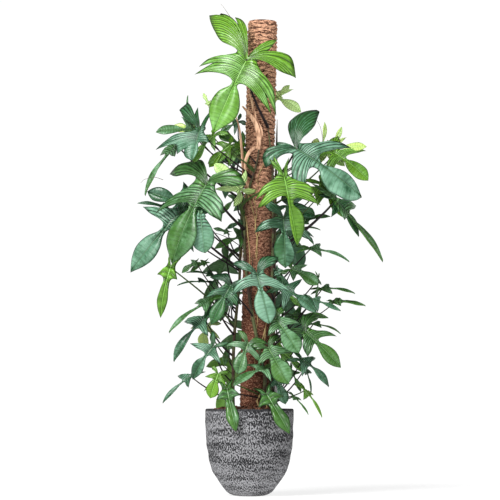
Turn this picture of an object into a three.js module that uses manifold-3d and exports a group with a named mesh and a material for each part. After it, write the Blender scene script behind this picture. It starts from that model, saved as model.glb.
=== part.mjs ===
// Climbing philodendron with deeply lobed leaves on a coir pole, standing in its filled grey pot.
// Millimetres, +Z up, the front of the plant faces -Y, origin at the centre of the pot's flat foot.

import * as THREE from "three";
import { mergeVertices } from "three/addons/utils/BufferGeometryUtils.js";
import Module from "manifold-3d";

const wasm = await Module();
wasm.setup();

// Clearance between pieces that touch on the real plant
const GAP = 0.3;

// Pot: outer profile from the flat foot up to the rim, as [radius, height]
const POT_OUTER = [
  [58, 0], [68, 4], [80, 18], [96, 43], [112, 67], [126, 92], [136, 123], [142, 158], [146, 194], [148.5, 286],
];
const POT_RIM = [[147, 290.5], [142, 292], [139, 288]];
const POT_INNER = [[131, 158], [124, 118], [102, 72], [76, 34]];
const POT_FLOOR = 20;
const POT_FLOOR_RADIUS = 58;
const POT_SIDES = 32;

// Soil: top surface from the pot's wall to the middle, as [radius, height]
const SOIL_TOP = [[138, 276], [112, 289], [62, 298]];
const SOIL_CROWN = 300;

// Pole: a wooden stake wrapped in ridged coir, leaning a little to the right
const POLE_FOOT_X = 10.4;
const POLE_FOOT_Z = POT_FLOOR + 0.8;
const POLE_LEAN = THREE.MathUtils.degToRad(1.24);
const POLE_LENGTH = 1582;
const COIR_START = 214;
const COIR_RIDGE_RADIUS = 50;
const COIR_VALLEY_RADIUS = 46.5;
const COIR_RIDGE_PITCH = 72;
const COIR_END_RADIUS = 41;
const COIR_SIDES = 12;
const STAKE_RADIUS = 15;
const STAKE_LENGTH = 1500;

// Leaf blades
const BLADE_THICKNESS = 1.1;
const MIDRIB_STATIONS = 5;
const SICKLE = 1;
const MARGIN_WAVE = 0.05;
const REAR_LEAVES = 11;
const REAR_LEAVES_APART = 7;

// Petioles: thickness at the stem and at the blade, and how far one may bow to pass its neighbours
const PETIOLE_BASE_SHARE = 0.019;
const PETIOLE_THINNEST = 2.4;
const PETIOLE_TIP_SHARE = 0.55;
const PETIOLE_STEPS = 5;
const PETIOLE_SIDES = 4;
const PETIOLE_BOWS = [0, 14, 28, 45, 65, 90];
const PETIOLE_BOW_DIRECTIONS = 8;
const PETIOLE_SEATS = [0.1, 0.3, 0.5, 0.7, 0.9, 1.1];
const HEART = 0.03;
const ROOT_HOLE_RADIUS = 3.8;
const BLADE_SLIDE_STEP = 5;

const TONES = {
  dark: 0x3d6b50,
  mid: 0x4a8547,
  bright: 0x6fae3a,
  pale: 0x9cc468,
  grey: 0x6f9c86,
};

// Half outlines of the leaf kinds, from the junction with the petiole to the tip, for a blade one unit long.
// Each point is [along the midrib, away from it], round the backward, the side and the end lobe. The lobes are
// listed straight: their sickle bend is added when the blade is shaped.
const LEAF_KINDS = {
  crown: {
    right: {
      back: [[-0.12, 0.035], [-0.29, 0.1], [-0.4, 0.21], [-0.2, 0.18], [-0.34, 0.33], [-0.44, 0.47], [-0.4, 0.61],
        [-0.16, 0.4], [-0.03, 0.12]],
      side: [[0.065, 0.25], [0.05, 0.46], [0.165, 0.6], [0.19, 0.4], [0.24, 0.55], [0.31, 0.34], [0.33, 0.1]],
      end: [[0.38, 0.04], [0.45, 0.1], [0.55, 0.165], [0.66, 0.188], [0.77, 0.16], [0.88, 0.09]],
    },
    left: {
      back: [[-0.21, 0.1], [-0.41, 0.2], [-0.65, 0.41], [-0.46, 0.31], [-0.7, 0.48], [-0.93, 0.63], [-0.81, 0.62],
        [-1.1, 0.78], [-0.8, 0.68], [-0.5, 0.55], [-0.22, 0.38], [-0.05, 0.15]],
      side: [[0.0, 0.24], [-0.02, 0.44], [0.06, 0.505], [0.085, 0.36], [0.175, 0.506], [0.24, 0.3], [0.32, 0.07]],
      end: [[0.4, 0.04], [0.5, 0.135], [0.63, 0.17], [0.78, 0.14], [0.91, 0.06]],
    },
  },
  mature: {
    right: {
      back: [[-0.06, 0.04], [-0.17, 0.12], [-0.27, 0.22], [-0.28, 0.35], [-0.32, 0.47], [-0.27, 0.54], [-0.12, 0.4],
        [-0.02, 0.15]],
      side: [[0.13, 0.2], [0.21, 0.34], [0.37, 0.41], [0.33, 0.24], [0.3, 0.09]],
      end: [[0.37, 0.05], [0.47, 0.1], [0.62, 0.15], [0.77, 0.14], [0.9, 0.07]],
    },
    left: {
      back: [[-0.1, 0.03], [-0.2, 0.1], [-0.28, 0.2], [-0.27, 0.38], [-0.1, 0.25], [-0.02, 0.1]],
      side: [[0.07, 0.16], [0.11, 0.3], [0.25, 0.37], [0.31, 0.22], [0.3, 0.07]],
      end: [[0.37, 0.06], [0.46, 0.11], [0.58, 0.17], [0.72, 0.17], [0.88, 0.1]],
    },
  },
  winged: {
    right: {
      back: [[-0.1, 0.06], [-0.24, 0.16], [-0.33, 0.25], [-0.47, 0.47], [-0.51, 0.62], [-0.43, 0.6], [-0.15, 0.4],
        [-0.04, 0.24], [0, 0.08]],
      side: [[0.1, 0.16], [0.17, 0.36], [0.22, 0.41], [0.35, 0.42], [0.33, 0.32], [0.29, 0.1]],
      end: [[0.38, 0.02], [0.48, 0.05], [0.6, 0.1], [0.71, 0.11], [0.84, 0.08]],
    },
    left: {
      back: [[-0.12, 0.03], [-0.23, 0.08], [-0.18, 0.1], [-0.29, 0.19], [-0.34, 0.33], [-0.29, 0.41], [-0.18, 0.31],
        [-0.07, 0.16]],
      side: [[0.03, 0.1], [0.07, 0.23], [0.12, 0.38], [0.24, 0.41], [0.29, 0.3], [0.3, 0.12]],
      end: [[0.4, 0.08], [0.54, 0.19], [0.72, 0.2], [0.86, 0.17], [0.96, 0.09]],
    },
  },
  starry: {
    right: {
      back: [[-0.28, 0.015], [-0.6, 0.045], [-0.52, 0.08], [-0.14, 0.07]],
      side: [[0.1, 0.08], [0.25, 0.16], [0.42, 0.22], [0.4, 0.09]],
      end: [[0.48, 0.04], [0.65, 0.06], [0.78, 0.055], [0.94, 0.025]],
    },
    left: {
      back: [[-0.26, 0.045], [-0.48, 0.095], [-0.83, 0.16], [-0.54, 0.165], [-1.02, 0.31], [-1.2, 0.38], [-1.05, 0.41],
        [-0.83, 0.43], [-0.45, 0.3], [-0.05, 0.08]],
      side: [[0.15, 0.21], [0.07, 0.36], [0.15, 0.56], [0.34, 0.61], [0.38, 0.37], [0.49, 0.29], [0.78, 0.25],
        [0.62, 0.17]],
      end: [[0.7, 0.15], [0.82, 0.14], [0.93, 0.09]],
    },
  },
  oval: {
    right: {
      back: [[-0.03, 0.03], [-0.05, 0.08], [0, 0.07]],
      side: [[0.06, 0.1], [0.11, 0.14], [0.15, 0.11]],
      end: [[0.24, 0.17], [0.4, 0.25], [0.6, 0.27], [0.82, 0.19], [0.95, 0.08]],
    },
    left: {
      back: [[-0.03, 0.02], [-0.04, 0.06], [0, 0.05]],
      side: [[0.05, 0.08], [0.09, 0.12], [0.13, 0.1]],
      end: [[0.24, 0.18], [0.4, 0.26], [0.6, 0.28], [0.8, 0.22], [0.94, 0.1]],
    },
  },
  forked: {
    right: {
      back: [[-0.06, 0.02], [-0.12, 0.05], [-0.22, 0.12], [-0.1, 0.08]],
      side: [[0.04, 0.06], [0.11, 0.17], [0.13, 0.3], [0.19, 0.37], [0.26, 0.32], [0.35, 0.41], [0.37, 0.26],
        [0.36, 0.1]],
      end: [[0.44, 0.05], [0.52, 0.12], [0.62, 0.15], [0.75, 0.135], [0.88, 0.08]],
    },
    left: {
      back: [[-0.11, 0.04], [-0.27, 0.08], [-0.2, 0.1], [-0.25, 0.15], [-0.12, 0.12], [-0.03, 0.07]],
      side: [[0.04, 0.17], [0.04, 0.39], [0.1, 0.45], [0.15, 0.28], [0.21, 0.44], [0.29, 0.3], [0.29, 0.06]],
      end: [[0.42, 0.02], [0.55, 0.035], [0.72, 0.045], [0.88, 0.03]],
    },
  },
  plain: {
    right: {
      back: [[-0.1, 0.04], [-0.26, 0.12], [-0.36, 0.3], [-0.42, 0.47], [-0.19, 0.34], [-0.03, 0.14]],
      side: [[0.08, 0.2], [0.13, 0.4], [0.2, 0.56], [0.3, 0.33], [0.27, 0.09]],
      end: [[0.34, 0.04], [0.46, 0.1], [0.6, 0.16], [0.76, 0.175], [0.9, 0.1]],
    },
    left: {
      back: [[-0.1, 0.04], [-0.26, 0.12], [-0.4, 0.26], [-0.46, 0.39], [-0.2, 0.26], [-0.03, 0.1]],
      side: [[-0.02, 0.24], [-0.07, 0.42], [0.0, 0.55], [0.13, 0.36], [0.23, 0.1]],
      end: [[0.32, 0.06], [0.43, 0.15], [0.56, 0.2], [0.73, 0.19], [0.89, 0.11]],
    },
  },
  broad: {
    right: {
      back: [[-0.14, 0.08], [-0.26, 0.22], [-0.3, 0.37], [-0.13, 0.28], [-0.02, 0.12]],
      side: [[0.07, 0.27], [0.17, 0.45], [0.25, 0.3], [0.27, 0.13]],
      end: [[0.38, 0.13], [0.52, 0.21], [0.68, 0.23], [0.85, 0.16]],
    },
    left: {
      back: [[-0.16, 0.1], [-0.28, 0.2], [-0.33, 0.32], [-0.13, 0.25], [-0.02, 0.1]],
      side: [[0.05, 0.28], [0.1, 0.42], [0.2, 0.27], [0.25, 0.12]],
      end: [[0.37, 0.14], [0.52, 0.22], [0.68, 0.23], [0.85, 0.15]],
    },
  },
  slender: {
    right: {
      back: [[-0.14, 0.05], [-0.28, 0.14], [-0.38, 0.24], [-0.16, 0.18], [-0.02, 0.08]],
      side: [[0.06, 0.22], [0.07, 0.44], [0.19, 0.28], [0.25, 0.07]],
      end: [[0.36, 0.04], [0.5, 0.11], [0.66, 0.14], [0.82, 0.1]],
    },
    left: {
      back: [[-0.14, 0.05], [-0.3, 0.16], [-0.4, 0.28], [-0.16, 0.2], [-0.02, 0.09]],
      side: [[0.03, 0.26], [0.05, 0.48], [0.2, 0.28], [0.26, 0.07]],
      end: [[0.36, 0.045], [0.5, 0.12], [0.66, 0.145], [0.83, 0.1]],
    },
  },
  young: {
    right: {
      back: [[-0.12, 0.1], [-0.26, 0.24], [-0.03, 0.16]],
      side: [[0.12, 0.34], [0.25, 0.13]],
      end: [[0.42, 0.13], [0.62, 0.18], [0.82, 0.12]],
    },
    left: {
      back: [[-0.14, 0.1], [-0.3, 0.22], [-0.03, 0.14]],
      side: [[0.08, 0.36], [0.25, 0.12]],
      end: [[0.42, 0.14], [0.62, 0.19], [0.82, 0.12]],
    },
  },
};

// Climbing stems, from the soil upwards, as [height, bearing round the pole in degrees, distance from its axis].
// Bearing 0 is to the right, 90 behind, 180 to the left and -90 in front.
const STEMS = [
  [[236, -62, 62], [400, -58, 60], [500, -80, 58], [600, -104, 58], [800, -138, 58], [970, -147, 58],
    [1034, -128, 58], [1090, -100, 58], [1165, -94, 58], [1215, -92, 60]],
  [[236, -28, 68], [400, -32, 60], [700, -32, 58], [900, -30, 58], [1100, -42, 58], [1176, -54, 58],
    [1262, -70, 60]],
  [[236, -172, 66], [330, -170, 74], [514, -168, 76], [700, 176, 60], [1000, 165, 58], [1200, 160, 60]],
  [[236, 8, 66], [500, 2, 60], [800, 6, 58], [1050, 15, 58], [1270, 20, 60]],
  [[236, 100, 60], [600, 88, 58], [1000, 96, 58], [1400, 90, 60]],
];
const STEM_RADIUS = 6.2;
const STEM_TOP_SHARE = 0.55;
const STEM_SIDES = 5;
const STEM_STEP = 80;

// Aerial roots that clasp the pole, as [stem, height at the stem, drop, bearing gained]
const CLASPING_ROOTS = [
  [0, 940, 170, 26], [0, 1010, 120, 34], [0, 640, 110, 22], [1, 640, 120, -24], [1, 480, 90, 26],
  [2, 900, 130, 24], [3, 1000, 130, -24], [3, 700, 120, 24], [4, 820, 140, 24],
];
const CLASP_RADIUS = 1.8;
const CLASP_DISTANCE = 52.6;

// Loose growth on the front stem: dried sheaths, a strand and the root that loops down into the soil
const FRONT_SHEATHS = [
  { from: 1160, start: 3.6, end: 1.4, path: [[30, -72, 1210], [18, -78, 1250], [-6, -80, 1285], [-24, -80, 1304]] },
  { from: 1030, start: 3.2, end: 1.4, path: [[-20, -62, 1085], [-26, -68, 1160], [-34, -68, 1230], [-46, -66, 1272]] },
  { from: 1170, start: 2.6, end: 1.2, path: [[6, -72, 1158], [-12, -70, 1125], [-14, -66, 1080], [-4, -68, 1040]] },
  { from: 1185, start: 2.4, end: 1.2, path: [[40, -68, 1220], [22, -70, 1262], [10, -68, 1310], [0, -68, 1350]] },
];
const ROOT_LOOP = {
  from: 352, start: 3, end: 2.4, path: [[36, -78, 340], [26, -90, 320], [30, -92, 304], [40, -88, 285]],
};
const SECOND_ROOT = {
  from: 372, start: 2.6, end: 2.2, path: [[64, -56, 352], [59, -72, 325], [56, -78, 285]],
};

// Leaves as [kind, tone, stem, junction, tip, facing bearing, facing height, width, fold, droop, side droop].
// The facing bearing is 0 towards the front and grows to the right, a negative width is a mirrored leaf,
// and the next three are bends in degrees, left out where the usual ones serve. One more is the way its petiole
// bows aside, for a petiole that shows at the front.
const LEAVES = [
  ["crown", "bright", 2, [-5, -120, 1465], [-121, -150, 1206], -5, 22, 1, 4, 25, 22, [-52, 0, 0]],
  ["starry", "dark", 1, [-165, -95, 1226], [-191, -150, 1116], -20, 12, 1.8, 5, 12, 6],
  ["plain", "mid", 1, [-183, -35, 1223], [-315, -60, 1219], -25, 35, 0.9],
  ["plain", "bright", 1, [-131, -40, 1223], [-199, -85, 1122], -35, 30, 0.8],
  ["mature", "mid", 1, [-138, -130, 1048], [-258, -150, 772], -30, 20, -1.15, 6, 28, 26],
  ["slender", "dark", 3, [-229, -60, 950], [-400, -50, 748], -25, 12, -1.1, 5, 25, 20],
  ["plain", "dark", 3, [-207, 0, 974], [-346, 10, 1025], -25, 15, 0.9],
  ["mature", "bright", 1, [-35, -30, 1157], [-143, -40, 1112], -15, 15, 0.9],
  ["slender", "mid", 3, [-241, 20, 1188], [-354, 0, 1008], -65, 20, 0.8],
  ["plain", "pale", 1, [-38, -62, 1023], [-125, -72, 1113], -10, 25, 0.9],
  ["oval", "grey", 1, [-164, -165, 945], [-147, -170, 807], -5, 5, 1, 4, 12, 14],
  ["plain", "pale", 5, [73, 60, 1365], [178, 70, 1308], 25, 25, 1],
  ["winged", "dark", 2, [151, -88, 1166], [375, -122, 996], 15, 15, 1, 6, 22, 22],
  ["plain", "bright", 4, [285, 20, 1158], [402, 10, 1061], 25, 28, 1.15],
  ["forked", "bright", 1, [113, -148, 1074], [159, -152, 831], 3, 8, 1, 10, 22, 25],
  ["plain", "dark", 2, [113, -95, 934], [120, -105, 760], 5, 8, 1.05, 6, 20, 25],
  ["plain", "dark", 4, [123, 0, 984], [219, 0, 947], 25, 10, 1.1],
  ["slender", "mid", 4, [281, -20, 996], [452, 0, 785], 62, 30, 0.75, 15, 15, 25],
  ["plain", "bright", 4, [245, 20, 1050], [315, 10, 937], 25, 20, 0.9],
  ["slender", "mid", 4, [200, -30, 828], [338, -10, 785], 60, 48, 0.9],
  ["plain", "dark", 2, [24, -125, 743], [67, -145, 571], 0, 14, 1, 8, 22, 24],
  ["broad", "mid", 4, [140, -10, 761], [232, -15, 707], 20, 30, 1],
  ["slender", "dark", 4, [210, -25, 658], [308, -15, 620], 25, 50, 1],
  ["slender", "mid", 4, [242, 50, 696], [360, 70, 681], 40, 60, 0.8],
  ["slender", "dark", 2, [112, -75, 695], [226, -60, 612], 15, 25, 1.1],
  ["broad", "mid", 2, [87, -125, 592], [164, -150, 475], 10, 20, 1, 5, 20, 22],
  ["mature", "mid", 4, [181, -70, 551], [306, -60, 429], 20, 25, 1, 8, 22, 22],
  ["broad", "mid", 2, [61, -130, 497], [129, -150, 374], 5, 12, 1.05, 5, 18, 20],
  ["slender", "dark", 4, [172, -60, 456], [266, -50, 364], 35, 42, 1.1],
  ["plain", "mid", 1, [-4, -110, 511], [-40, -130, 407], -5, 12, 1.2, 5, 20, 22],
  ["young", "mid", 2, [55, -125, 344], [133, -172, 210], 8, 18, 0.85, 5, 15, 18],
  ["young", "mid", 1, [-75, -125, 361], [-44, -178, 216], -5, 12, 0.75, 5, 15, 18],
  ["slender", "bright", 4, [183, -40, 357], [243, -50, 262], 65, 20, 0.9],
  ["broad", "dark", 2, [88, -85, 394], [120, -100, 307], 15, 8, 0.9],
  ["slender", "mid", 3, [-122, -45, 656], [-271, -60, 545], -60, 45, 0.9],
  ["mature", "dark", 1, [-62, -100, 704], [-128, -120, 572], -10, 15, -1, 8, 20, 22],
  ["slender", "dark", 3, [-146, -20, 596], [-255, -30, 448], -45, 38, 1],
  ["slender", "dark", 3, [-120, -75, 500], [-190, -65, 389], -20, 15, 1.15],
  ["slender", "dark", 3, [-193, -30, 404], [-292, -30, 310], -50, 35, 0.8],
  ["broad", "bright", 1, [-104, -75, 410], [-131, -75, 327], -12, 10, 1.1],
  ["plain", "pale", 3, [-144, 40, 574], [-158, 50, 499], -10, 0, 1.3],
  ["slender", "mid", 2, [53, -85, 404], [-61, -140, 344], -25, 55, 1.3],
  ["young", "bright", 3, [-263, -60, 769], [-298, -60, 595], -20, 10, 0.6],
  ["broad", "dark", 3, [-72, -10, 697], [-126, 0, 637], -25, 10, 1],
];

// Small leaves in the same form, grown together with their stem
const SMALL_LEAVES = [
  ["young", "pale", 3, [-170, 0, 1227], [-258, 10, 1251], -10, 20, 1],
  ["slender", "mid", 3, [-215, 40, 1224], [-249, 50, 1347], -70, 10, 0.7],
  ["young", "dark", 3, [-276, 60, 968], [-382, 60, 988], -60, 40, 0.6],
  ["slender", "pale", 5, [247, 100, 1171], [258, 120, 1272], 30, 5, 0.6],
  ["slender", "pale", 5, [275, 110, 1172], [315, 130, 1256], 20, 10, 0.7],
  ["young", "mid", 4, [175, 50, 920], [277, 70, 943], 60, 45, 0.7],
  ["young", "mid", 5, [165, 70, 900], [243, 90, 898], 60, 60, 0.7],
  ["young", "dark", 4, [174, 10, 894], [218, 20, 844], 50, 20, 0.8],
  ["slender", "mid", 4, [231, 20, 732], [221, 10, 664], 60, 10, 0.8],
  ["young", "mid", 5, [284, 80, 653], [397, 100, 640], 40, 55, 0.7],
  ["slender", "mid", 2, [137, -95, 331], [188, -130, 268], 60, 25, 0.7],
  ["slender", "mid", 4, [212, 40, 577], [310, 60, 544], 30, 60, 0.6],
  ["slender", "dark", 4, [187, 10, 431], [207, 10, 340], 60, 10, 0.6],
  ["young", "mid", 3, [-69, 10, 512], [-83, 10, 438], -20, 0, 0.9],
  ["young", "mid", 3, [-177, 0, 785], [-229, 0, 748], -30, 20, 1],
  ["slender", "dark", 3, [-120, 20, 739], [-215, 30, 751], -60, 50, 0.6],
  ["slender", "dark", 3, [-147, 50, 720], [-246, 50, 708], -60, 50, 0.6],
];

// A fixed draw between -1 and 1 for a leaf's own variation
function draw(index, salt) {
  const wave = Math.sin(index * 12.9898 + salt * 78.233) * 43758.5453;
  return 2 * (wave - Math.floor(wave)) - 1;
}

// The pole's axis at a height, with the lean
function poleAxis(z) {
  return POLE_FOOT_X + (z - POLE_FOOT_Z) * Math.tan(POLE_LEAN);
}

function toSolid(geometry) {
  const plain = geometry.clone();
  plain.deleteAttribute("normal");
  plain.deleteAttribute("uv");
  const merged = mergeVertices(plain, 1e-4);
  return new wasm.Manifold(new wasm.Mesh({
    numProp: 3,
    vertProperties: new Float32Array(merged.attributes.position.array),
    triVerts: new Uint32Array(merged.index.array),
  }));
}

function toGeometry(solid) {
  const mesh = solid.getMesh();
  const geometry = new THREE.BufferGeometry();
  geometry.setAttribute("position", new THREE.BufferAttribute(mesh.vertProperties, 3));
  geometry.setIndex(new THREE.BufferAttribute(mesh.triVerts, 1));
  geometry.computeVertexNormals();
  return geometry;
}

function fromTriangles(points, triangles) {
  const geometry = new THREE.BufferGeometry();
  geometry.setAttribute("position", new THREE.Float32BufferAttribute(points.flatMap((p) => p.toArray()), 3));
  geometry.setIndex(triangles.flat());
  return geometry;
}

// A lathe about +Z; three.js turns its profile about +Y
function lathe(profile, sides) {
  const geometry = new THREE.LatheGeometry(profile.map(([r, z]) => new THREE.Vector2(r, z)), sides);
  return geometry.rotateX(Math.PI / 2);
}

function overlaps(solid, others) {
  const box = solid.boundingBox();
  return others.some((other) => {
    const apart = [0, 1, 2].some((i) => box.max[i] < other.box.min[i] || other.box.max[i] < box.min[i]);
    return !apart && solid.intersect(other.solid).volume() > 1e-6;
  });
}

function withBox(solid) {
  return { solid, box: solid.boundingBox() };
}

// A tube along points, its radius running evenly from start to end, closed by flat ends.
// Each ring stands square to the path, turned no more than the path turns.
function tube(path, start, end, sides) {
  const points = [];
  const triangles = [];
  let across = null;
  path.forEach((centre, i) => {
    const ahead = path[Math.min(i + 1, path.length - 1)].clone().sub(path[Math.max(i - 1, 0)]).normalize();
    if (across === null) {
      across = Math.abs(ahead.z) < 0.9 ? new THREE.Vector3(0, 0, 1) : new THREE.Vector3(1, 0, 0);
    }
    across = across.clone().addScaledVector(ahead, -across.dot(ahead)).normalize();
    const up = ahead.clone().cross(across);
    const radius = start + (end - start) * (i / (path.length - 1));
    for (let k = 0; k < sides; k += 1) {
      const turn = (2 * Math.PI * k) / sides;
      const ring = centre.clone().addScaledVector(across, radius * Math.cos(turn));
      points.push(ring.addScaledVector(up, radius * Math.sin(turn)));
    }
  });
  for (let i = 0; i + 1 < path.length; i += 1) {
    for (let k = 0; k < sides; k += 1) {
      const here = i * sides + k;
      const next = i * sides + ((k + 1) % sides);
      triangles.push([here, next, next + sides], [here, next + sides, here + sides]);
    }
  }
  const last = (path.length - 1) * sides;
  for (let k = 1; k + 1 < sides; k += 1) {
    triangles.push([0, k + 1, k], [last, last + k, last + k + 1]);
  }
  return fromTriangles(points, triangles);
}

// A smooth path from a stem's middle through the listed points
function strandPath(stem, strand, steps) {
  const points = [stemPoint(stem, strand.from), ...strand.path.map((p) => new THREE.Vector3(...p))];
  return new THREE.CatmullRomCurve3(points).getPoints(steps);
}

// Flat blade: each half's outline, bent like a sickle and closed along the midrib, is split into triangles.
// Returns unbent [along, across] points and triangles that face up. For the split alone the midrib is drawn
// in a hair, so that every one of its stations stays a corner.
function flatBlade(kind) {
  const points = Array.from({ length: MIDRIB_STATIONS + 1 }, (_, k) => [k / MIDRIB_STATIONS, 0]);
  const triangles = [];
  for (const [half, sign] of [[kind.right, 1], [kind.left, -1]]) {
    const margin = [...half.back, ...half.side, ...half.end];
    const loop = [0, ...margin.map((_, i) => points.length + i)];
    for (let k = MIDRIB_STATIONS; k > 0; k -= 1) {
      loop.push(k);
    }
    points.push(...margin.map(([u, v]) => [u, sign * v]));
    const contour = loop.map((i) => {
      const [u, v] = points[i];
      return new THREE.Vector2(u + SICKLE * v * v, v === 0 ? 0.004 * sign * Math.sin(Math.PI * u) : v);
    });
    for (const corners of THREE.ShapeUtils.triangulateShape(contour, [])) {
      const [p, q, r] = corners.map((i) => contour[i]);
      const up = q.clone().sub(p).cross(r.clone().sub(p)) > 0;
      const [a, b, c] = corners.map((i) => loop[i]);
      triangles.push(up ? [a, b, c] : [a, c, b]);
    }
  }
  return { points, triangles };
}

const FLAT_BLADES = Object.fromEntries(Object.entries(LEAF_KINDS).map(([name, kind]) => [name, flatBlade(kind)]));

// How a blade stands: its length, its axes at the junction (along, across, up out of its face) and its bends.
// The chord from junction to tip is given, so the first direction leans back by half the droop.
function bladePose(leaf, index) {
  const [kind, tone, stem, junction, tip, bearing, height, width, fold, droop, side, bow] = leaf;
  const from = new THREE.Vector3(...junction);
  const chord = new THREE.Vector3(...tip).sub(from);
  const bend = THREE.MathUtils.degToRad(droop ?? 32 + 14 * draw(index, 1));
  const turn = THREE.MathUtils.degToRad(bearing);
  const rise = THREE.MathUtils.degToRad(height);
  const facing = new THREE.Vector3(Math.sin(turn) * Math.cos(rise), -Math.cos(turn) * Math.cos(rise), Math.sin(rise));
  const ahead = chord.clone().normalize();
  const up = facing.addScaledVector(ahead, -facing.dot(ahead)).normalize();
  const along = ahead.clone().multiplyScalar(Math.cos(bend / 2)).addScaledVector(up, Math.sin(bend / 2));
  const out = up.clone().multiplyScalar(Math.cos(bend / 2)).addScaledVector(ahead, -Math.sin(bend / 2));
  return {
    kind,
    tone,
    stem,
    from,
    along,
    out,
    across: out.clone().cross(along),
    length: (chord.length() * (bend / 2)) / Math.sin(bend / 2),
    width,
    droop: bend,
    fold: THREE.MathUtils.degToRad(fold ?? 9 + 6 * draw(index, 2)),
    side: THREE.MathUtils.degToRad(side ?? 26 + 10 * draw(index, 3)),
    wavePhase: Math.PI * draw(index, 4),
    bow,
  };
}

// A point of the blade's middle surface. The midrib is an arc, each half leaves it at the fold angle and
// droops as another arc, the side lobes are bent like sickles and the margin is waved.
function bladePoint(pose, u, v) {
  const a = u + SICKLE * v * v;
  const b = v * pose.width;
  const reach = Math.abs(b);
  const bend = pose.droop * a;
  const curl = pose.side / 0.5;
  const sideways = (Math.sin(pose.fold) - Math.sin(pose.fold - curl * reach)) / curl;
  const wave = MARGIN_WAVE * reach * Math.sin(9 * a + pose.wavePhase + Math.sign(b));
  const lift = (Math.cos(pose.fold - curl * reach) - Math.cos(pose.fold)) / curl + wave;
  const forward = Math.sin(bend) / pose.droop + lift * Math.sin(bend);
  const outward = (Math.cos(bend) - 1) / pose.droop + lift * Math.cos(bend);
  return pose.from.clone()
    .addScaledVector(pose.along, forward * pose.length)
    .addScaledVector(pose.out, outward * pose.length)
    .addScaledVector(pose.across, Math.sign(b) * sideways * pose.length);
}

function bladeNormal(pose, u, v) {
  const step = 0.01;
  const along = bladePoint(pose, u + step, v).sub(bladePoint(pose, u - step, v));
  const across = bladePoint(pose, u, v + step).sub(bladePoint(pose, u, v - step));
  return along.cross(across).normalize().multiplyScalar(Math.sign(pose.width));
}

// The blade as a closed sheet, its two faces split alike
function bladeSolid(pose) {
  const flat = FLAT_BLADES[pose.kind];
  const count = flat.points.length;
  const middle = flat.points.map(([u, v]) => [bladePoint(pose, u, v), bladeNormal(pose, u, v)]);
  const face = (shift) => middle.map(([point, normal]) => point.clone().addScaledVector(normal, shift));
  const points = [...face(BLADE_THICKNESS / 2), ...face(-BLADE_THICKNESS / 2)];
  const top = flat.triangles.map(([a, b, c]) => (pose.width > 0 ? [a, b, c] : [a, c, b]));
  const edges = new Set(top.flatMap(([a, b, c]) => [`${a},${b}`, `${b},${c}`, `${c},${a}`]));
  const rim = [...edges].map((edge) => edge.split(",").map(Number)).filter(([p, q]) => !edges.has(`${q},${p}`));
  const triangles = [
    ...top,
    ...top.map(([a, b, c]) => [a + count, c + count, b + count]),
    ...rim.flatMap(([p, q]) => [[q, p, p + count], [q, p + count, q + count]]),
  ];
  return toSolid(fromTriangles(points, triangles));
}

// Where a stem's listed places put it at a height: bearing and distance run evenly between them
function listedPoint(stem, z) {
  const rows = STEMS[stem];
  const last = rows.length - 1;
  let i = rows.findIndex((row) => row[0] > z) - 1;
  i = i < 0 ? (z <= rows[0][0] ? 0 : last - 1) : i;
  const [low, high] = [rows[i], rows[i + 1]];
  const share = (z - low[0]) / (high[0] - low[0]);
  let swing = high[1] - low[1];
  swing -= 360 * Math.round(swing / 360);
  const bearing = THREE.MathUtils.degToRad(low[1] + swing * share);
  const distance = low[2] + (high[2] - low[2]) * share;
  return new THREE.Vector3(poleAxis(z) + distance * Math.cos(bearing), distance * Math.sin(bearing), z);
}

function stemTop(stem) {
  return STEMS[stem][STEMS[stem].length - 1][0];
}

function stemPath(stem) {
  const bottom = STEMS[stem][0][0];
  const top = stemTop(stem);
  const steps = Math.round((top - bottom) / STEM_STEP);
  return Array.from({ length: steps + 1 }, (_, i) => listedPoint(stem, bottom + ((top - bottom) * i) / steps));
}

const STEM_PATHS = STEMS.map((_, stem) => stemPath(stem));

// The middle of a stem at a height, on its drawn path
function stemPoint(stem, z) {
  const path = STEM_PATHS[stem];
  const step = path[1].z - path[0].z;
  const i = THREE.MathUtils.clamp(Math.floor((z - path[0].z) / step), 0, path.length - 2);
  return path[i].clone().lerp(path[i + 1], (z - path[i].z) / step);
}

function claspingRoot([stem, height, drop, swing]) {
  const start = stemPoint(stem, height);
  const bearing = Math.atan2(start.y, start.x - poleAxis(height));
  const path = [start];
  const steps = 5;
  for (let i = 1; i <= steps; i += 1) {
    const share = i / steps;
    const z = height - drop * share;
    const turn = bearing + THREE.MathUtils.degToRad(swing) * Math.sin((Math.PI / 2) * share);
    path.push(new THREE.Vector3(poleAxis(z) + CLASP_DISTANCE * Math.cos(turn), CLASP_DISTANCE * Math.sin(turn), z));
  }
  return tube(path, CLASP_RADIUS * 1.3, CLASP_RADIUS * 0.6, PETIOLE_SIDES);
}

// Where a leaf's petiole leaves its stem: lower than the blade, the more so the further out the blade is
function petioleStart(pose) {
  const reach = Math.hypot(pose.from.x - poleAxis(pose.from.z), pose.from.y);
  const height = THREE.MathUtils.clamp(pose.from.z - 0.6 * reach - 25, 310, stemTop(pose.stem - 1) - 25);
  return stemPoint(pose.stem - 1, height);
}

function petioleRadius(pose) {
  return Math.max(PETIOLE_THINNEST, PETIOLE_BASE_SHARE * pose.length);
}

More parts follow.
